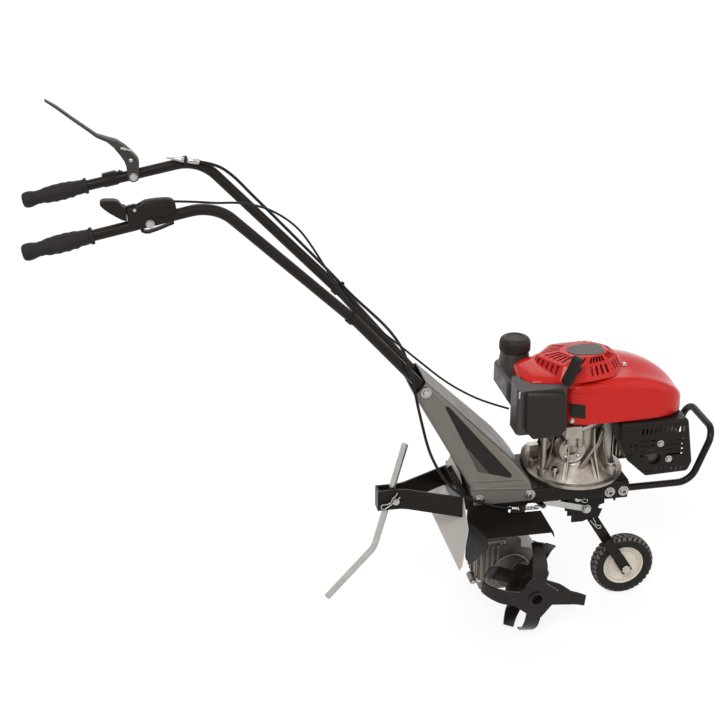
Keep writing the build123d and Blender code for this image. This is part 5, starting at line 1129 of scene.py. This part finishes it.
# Fuel cap: its place, its profile, and where and how deep its flutes run
CAP_PLACE = (303, 68, 619)
CAP_PROFILE = [(0, 22.4), (0, 33.0), (0.6, 34.2), (1.8, 34.8), (6, 35.0), (12, 35.0), (18, 34.8), (22, 34.0),
               (25.5, 32.4), (28.2, 29.8), (30.0, 26.2), (30.9, 22.0), (31.2, 18.5), (30.4, 17.4), (29.6, 16.6),
               (29.5, 8.0), (29.5, 1.0)]
CAP_FLUTED = [(0.5, 0), (2.5, 1), (21, 1), (26, 0)]
CAP_FLUTES, FLUTE_CUT = 18, 1.5


class TILLER_OT_fuel_cap(bpy.types.Operator):
    """Turn the fuel cap with its flutes, rolled shoulder and sunk top"""
    bl_idname = "tiller.fuel_cap"
    bl_label = "Fuel Cap"

    def execute(self, context):
        def flutes(along, angle):
            return -FLUTE_CUT * eased(CAP_FLUTED, along) * max(0.0, math.cos(CAP_FLUTES * angle)) ** 0.6

        form = bmesh.new()
        turned(form, CAP_PLACE, Z, CAP_PROFILE, CAP_FLUTES * 8, flutes)
        shape_piece("fuel_cap_moulded", form, "moulded_plastic_charcoal", "fuel_cap", "fuel_cap", crease=38)
        return {"FINISHED"}


# Plates, screws and latch of the engine covers
TOP_PLATE_X, TOP_PLATE_Y, TOP_PLATE_Z = 438.0, -13.0, 641.9
SIDE_PLATE = [(384, -110, 551), (416.6, -110, 548.0), (418.8, -110, 515.4), (386, -110, 518.4)]
GUARD_SCREWS = ((594.2, -104, 441.1), (616.3, -104, 401))
COVER_SCREWS = (((524, -30, 700), -Z), ((391.4, -200, 508), Y))
LATCH_FROM, LATCH_WIDE, LATCH_SUNK = (268, -200, 586), 4.4, 0.3
LATCH = [(-8.5, 0), (-8.5, 1.4), (-6, 2.6), (6, 2.6), (8.5, 1.4), (8.5, 0)]


class TILLER_OT_engine_trim(bpy.types.Operator):
    """Set the bare plates and the screws of the engine covers"""
    bl_idname = "tiller.engine_trim"
    bl_label = "Engine Trim"

    def execute(self, context):
        thick = context.scene.tiller_sizes.plate / MM
        oval = []
        for k in range(48):
            a = 2 * math.pi * k / 48
            u, v = squarish(a, 0.75, 0.8)
            oval.append((TOP_PLATE_X + 41 * u, TOP_PLATE_Y + (29 + 5 * math.cos(a)) * v))
        form = bmesh.new()
        prism(form, oval, thick + 0.3, Z * TOP_PLATE_Z, X, Y, Z)
        shape_piece("cover_top_plate", form, "bare_plate_grey", soften=0.3)

        form = bmesh.new()
        draped(form, "blower_housing", SIDE_PLATE, 90, Y, thick)
        shape_piece("cowl_side_plate", form, "bare_plate_dark", crease=60)

        form = bmesh.new()
        for place in GUARD_SCREWS:
            capscrew(form, place, -Y, 8.0, 5.6, 5.0)
        shape_piece("guard_screws", form, "zinc_plated_steel")

        form = bmesh.new()
        for start, toward in COVER_SCREWS:
            place, normal = seat("blower_housing", start, toward)
            capscrew(form, place, normal, 6.0, 4.4, 3.6)
        place, normal = seat("air_filter_case", LATCH_FROM, Y)
        prism(form, LATCH, LATCH_WIDE, place - normal * LATCH_SUNK, Z, normal, X, LATCH_WIDE / 2)
        shape_piece("cover_screws", form, "zinc_plated_steel", soften=0.3)
        return {"FINISHED"}


# Crankcase: bearing boss, webs as (turn, foot radius, top, width), strap, ear and pads as (turn, reach, width, top)
BARREL_R = 64.0
BOSS_PLACE, BOSS_RUN = (404, -40, 424), (0.05, -1, 0.05)
BOSS_PROFILE = [(0, 36), (24, 33), (27, 31.5), (28, 29), (26, 27), (25.6, 14), (24.4, 12.6), (18, 11.8), (17.6, 1)]
WEBS = ((-118, 102, 470, 4.0), (-72, 101, 474, 4.5), (-48, 100, 474, 4.0), (-150, 100, 462, 4.0), (-20, 98, 474, 4.0),
        (150, 100, 470, 4.0), (110, 100, 470, 4.0), (70, 100, 470, 4.0))
CASE_STRAP = [(412, 373), (424, 371), (473, 437), (481, 462), (470, 466), (461, 443)]
EAR_LEVELS = ((350, 317, 372, 2, 46), (366, 317, 368, 4, 44), (388, 319, 360, 8, 40), (401, 326, 354, 14, 34))
SCREW_BOSS, SCREW_TURNS = [(0, 5), (12, 8.5), (46, 8.5), (47.5, 7.5)], (-100, -35, 35, 100, 165, -160)
PADS = ((-35, 98, 18, 368), (178, 96, 22, 376))
# Gear case: its flat sides, ribs, lip, bearing ring and screws
CASE_FACE = 37.6
CASE_RIB_X, RIB_RISE, LIP_RISE = (213, 226, 239, 252), 4.6, 5.2
CASE_RIB = [(-3.2, 86), (3.2, 86), (3.2, 178), (1.5, 184), (-1.5, 184), (-3.2, 178)]
CASE_LIP = [(203, 190), (262, 190), (268, 197), (203, 197)]
CASE_RING = [(0, 46), (5, 45), (6.2, 43.5), (6.2, 40), (4.2, 38.6), (4.0, 27)]
BOSS_SCREW = [(0, 4.2), (1.4, 4.2), (3.4, 4.0), (4.2, 3.0)]
CASE_SCREWS = ((208.5, 95), (208.5, 176), (262, 186))


class TILLER_OT_castings(bpy.types.Operator):
    """Add the bosses, webs and ear of the crankcase, and the ribs and bolts of the gear case"""
    bl_idname = "tiller.castings"
    bl_label = "Castings"

    def execute(self, context):
        axis = X * ENGINE_X
        form = bmesh.new()
        # Bearing boss on the near side of the barrel, with its sunk cover
        turned(form, BOSS_PLACE, BOSS_RUN, BOSS_PROFILE, 56)
        # Webs that lean from the flange to the barrel
        for turn, low, high, wide in WEBS:
            ray, side = compass(turn)
            web = [(low, 357), (low - 4, 364), (BARREL_R + 12, 420), (BARREL_R + 7, high), (BARREL_R - 3, high),
                   (BARREL_R - 3, 357)]
            prism(form, web, wide, axis, ray, Z, side, wide / 2)
        # Strap that rises across the near side to the cylinder
        skin(form, [[Vector((u, 10 - h - math.sqrt((BARREL_R + 9) ** 2 - (u - ENGINE_X) ** 2), v))
                     for u, v in CASE_STRAP] for h in (0.0, 15.0)])
        # Ear at the rear edge of the flange
        skin(form, [[Vector((x, y, z)) for x, y in ((rear, near + 6), (rear + 8, near), (front, near + 4), (front, far),
                                                    (rear + 6, far), (rear, far - 6))]
                    for z, rear, front, near, far in EAR_LEVELS])
        # Bosses for the cover screws round the top of the barrel
        for turn in SCREW_TURNS:
            turned(form, axis + Z * 430 + compass(turn)[0] * (BARREL_R + 3), Z, SCREW_BOSS, 24)
        # Pads round the flange
        for turn, reach, wide, high in PADS:
            ray, side = compass(turn)
            pad = [(reach + 6, 352), (reach + 6, high - 6), (reach + 1, high), (reach - 14, high),
                   (reach - 30, high + 16), (reach - 30, 352)]
            prism(form, pad, wide, axis, ray, Z, side, wide / 2)
        shape_piece("crankcase_cast_forms", form, "die_cast_aluminium", crease=30, soften=0.8)

        form = bmesh.new()
        for side in (-1, 1):
            for x in CASE_RIB_X:
                flank(form, [(x + u, v) for u, v in CASE_RIB], side, CASE_FACE, RIB_RISE)
            flank(form, CASE_LIP, side, CASE_FACE, LIP_RISE)
            turned(form, (284, side * CASE_FACE, 112), Y * side, CASE_RING, 64)
        shape_piece("gear_case_ribs", form, "sand_cast_grey", crease=30, soften=0.9)

        form = bmesh.new()
        for side, (x, z) in product((-1, 1), CASE_SCREWS):
            capscrew(form, (x, side * (CASE_FACE + 0.2), z), Y * side, 6.4, 5.0, 5.2)
        shape_piece("gear_case_screws", form, "zinc_plated_steel")

        form = bmesh.new()
        for x, z in arc(45, 90, 4, 20.5, (404, 425)):
            turned(form, (x, -65.4, z), -Y, BOSS_SCREW, 20)
        shape_piece("crankcase_screws", form, "zinc_plated_steel")
        return {"FINISHED"}


def seen_by_eye(tree):
    """Whether a ray is the camera's own, or comes to it off a gloss or through glass."""
    path = add_node(tree, "ShaderNodeLightPath").outputs
    seen = path["Is Camera Ray"]
    for other in ("Is Glossy Ray", "Is Transmission Ray"):
        seen = add_node(tree, "ShaderNodeMath", {0: seen, 1: path[other]}, operation="MAXIMUM").outputs["Value"]
    return seen


# Lamps: name, where the light comes from, softness in degrees and strength
LAMPS = (("key", (-1.4, -2.2, 2.6), 24.0, 1.5), ("fill", (2.6, -2.4, 1.6), 60.0, 0.6),
         ("back", (0.6, 2.6, 2.6), 40.0, 0.6))
# Camera: place in metres, turn and tilt, and focal length as a share of the sensor's width
CAMERA_PLACE = (-0.6425, -2.9355, 2.0125)
CAMERA_TURN, CAMERA_TILT = math.radians(-11.2), math.radians(24.4)
SENSOR_MM, LENS_SHARE = 36.0, 1540 / 720
WHITE = (1.0, 1.0, 1.0, 1.0)
# Floor's half width in metres, and the strengths of paper and sky
FLOOR_HALF_M, PAPER_GLOW, SKY_LIGHT = 30.0, 0.82, 0.50
PAPER_MATT, PAPER_SHADE = 0.72, 0.22


class TILLER_OT_stage(bpy.types.Operator):
    """Set the floor, the light and the camera"""
    bl_idname = "tiller.stage"
    bl_label = "Stage"

    def execute(self, context):
        scene = context.scene
        scene.view_settings.view_transform = "Standard"
        floor_mesh = bpy.data.meshes.new("floor")
        form = bmesh.new()
        bmesh.ops.create_grid(form, x_segments=2, y_segments=2, size=FLOOR_HALF_M)
        form.to_mesh(floor_mesh)
        form.free()
        floor = bpy.data.objects.new("floor", floor_mesh)
        scene.collection.objects.link(floor)
        # Seamless paper: burnt out to white for the eye, with a faint shadow left; plain matt for the light it throws
        paper = bpy.data.materials.new("seamless_paper_white")
        paper.use_nodes = True
        tree = paper.node_tree
        tree.nodes.clear()
        matt, shade = (add_node(tree, "ShaderNodeBsdfDiffuse", {"Color": (grey, grey, grey, 1.0)}).outputs["BSDF"]
                       for grey in (PAPER_MATT, PAPER_SHADE))
        glow = add_node(tree, "ShaderNodeEmission", {"Color": WHITE, "Strength": PAPER_GLOW})
        burnt = add_node(tree, "ShaderNodeAddShader", {0: glow.outputs["Emission"], 1: shade})
        lit = add_node(tree, "ShaderNodeMixShader", {0: seen_by_eye(tree), 1: matt, 2: burnt.outputs["Shader"]})
        add_node(tree, "ShaderNodeOutputMaterial", {"Surface": lit.outputs["Shader"]})
        floor_mesh.materials.append(paper)

        world = bpy.data.worlds.new("studio")
        scene.world = world
        world.use_nodes = True
        tree = world.node_tree
        tree.nodes.clear()
        sky = add_node(tree, "ShaderNodeBackground", {
            "Color": WHITE, "Strength": ranged(tree, seen_by_eye(tree), (0.0, 1.0), SKY_LIGHT, 1.0)})
        add_node(tree, "ShaderNodeOutputWorld", {"Surface": sky.outputs["Background"]})

        for name, source, spread, power in LAMPS:
            lamp = bpy.data.lights.new(name, "SUN")
            lamp.energy = power
            lamp.angle = math.radians(spread)
            obj = bpy.data.objects.new(name, lamp)
            obj.location = source
            obj.rotation_euler = (-Vector(source)).to_track_quat("-Z", "Y").to_euler()
            scene.collection.objects.link(obj)

        lens = bpy.data.cameras.new("camera")
        lens.sensor_width = SENSOR_MM
        lens.lens = SENSOR_MM * LENS_SHARE
        camera = bpy.data.objects.new("camera", lens)
        camera.location = CAMERA_PLACE
        camera.rotation_euler = (math.pi / 2 - CAMERA_TILT, 0.0, CAMERA_TURN)
        scene.collection.objects.link(camera)
        scene.camera = camera
        return {"FINISHED"}


class TILLER_PT_panel(bpy.types.Panel):
    """Sidebar panel of the tiller"""
    bl_label = "Garden Tiller"
    bl_idname = "TILLER_PT_panel"
    bl_space_type = "VIEW_3D"
    bl_region_type = "UI"
    bl_category = "Tiller"

    def draw(self, context):
        for group in (context.scene.tiller_colours, context.scene.tiller_sizes):
            for key in group.bl_rna.properties.keys():
                if key not in ("rna_type", "name"):
                    self.layout.prop(group, key)
        for operator in OPERATORS:
            self.layout.operator(operator.bl_idname)


OPERATORS = (TILLER_OT_finishes, TILLER_OT_cables, TILLER_OT_grips, TILLER_OT_clutch_lever, TILLER_OT_throttle,
             TILLER_OT_bar_clips, TILLER_OT_adjusters, TILLER_OT_column_trim, TILLER_OT_clips, TILLER_OT_wheel,
             TILLER_OT_starter, TILLER_OT_recoil_cover, TILLER_OT_fuel_cap, TILLER_OT_engine_trim,
             TILLER_OT_castings, TILLER_OT_stage)
CLASSES = (TillerColours, TillerSizes, *OPERATORS, TILLER_PT_panel)


def register():
    for cls in CLASSES:
        bpy.utils.register_class(cls)
    bpy.types.Scene.tiller_colours = PointerProperty(type=TillerColours)
    bpy.types.Scene.tiller_sizes = PointerProperty(type=TillerSizes)


def unregister():
    del bpy.types.Scene.tiller_sizes
    del bpy.types.Scene.tiller_colours
    for cls in reversed(CLASSES):
        bpy.utils.unregister_class(cls)


def main():
    register()
    for operator in OPERATORS:
        group, name = operator.bl_idname.split(".")
        getattr(getattr(bpy.ops, group), name)()


if __name__ == "__main__":
    main()
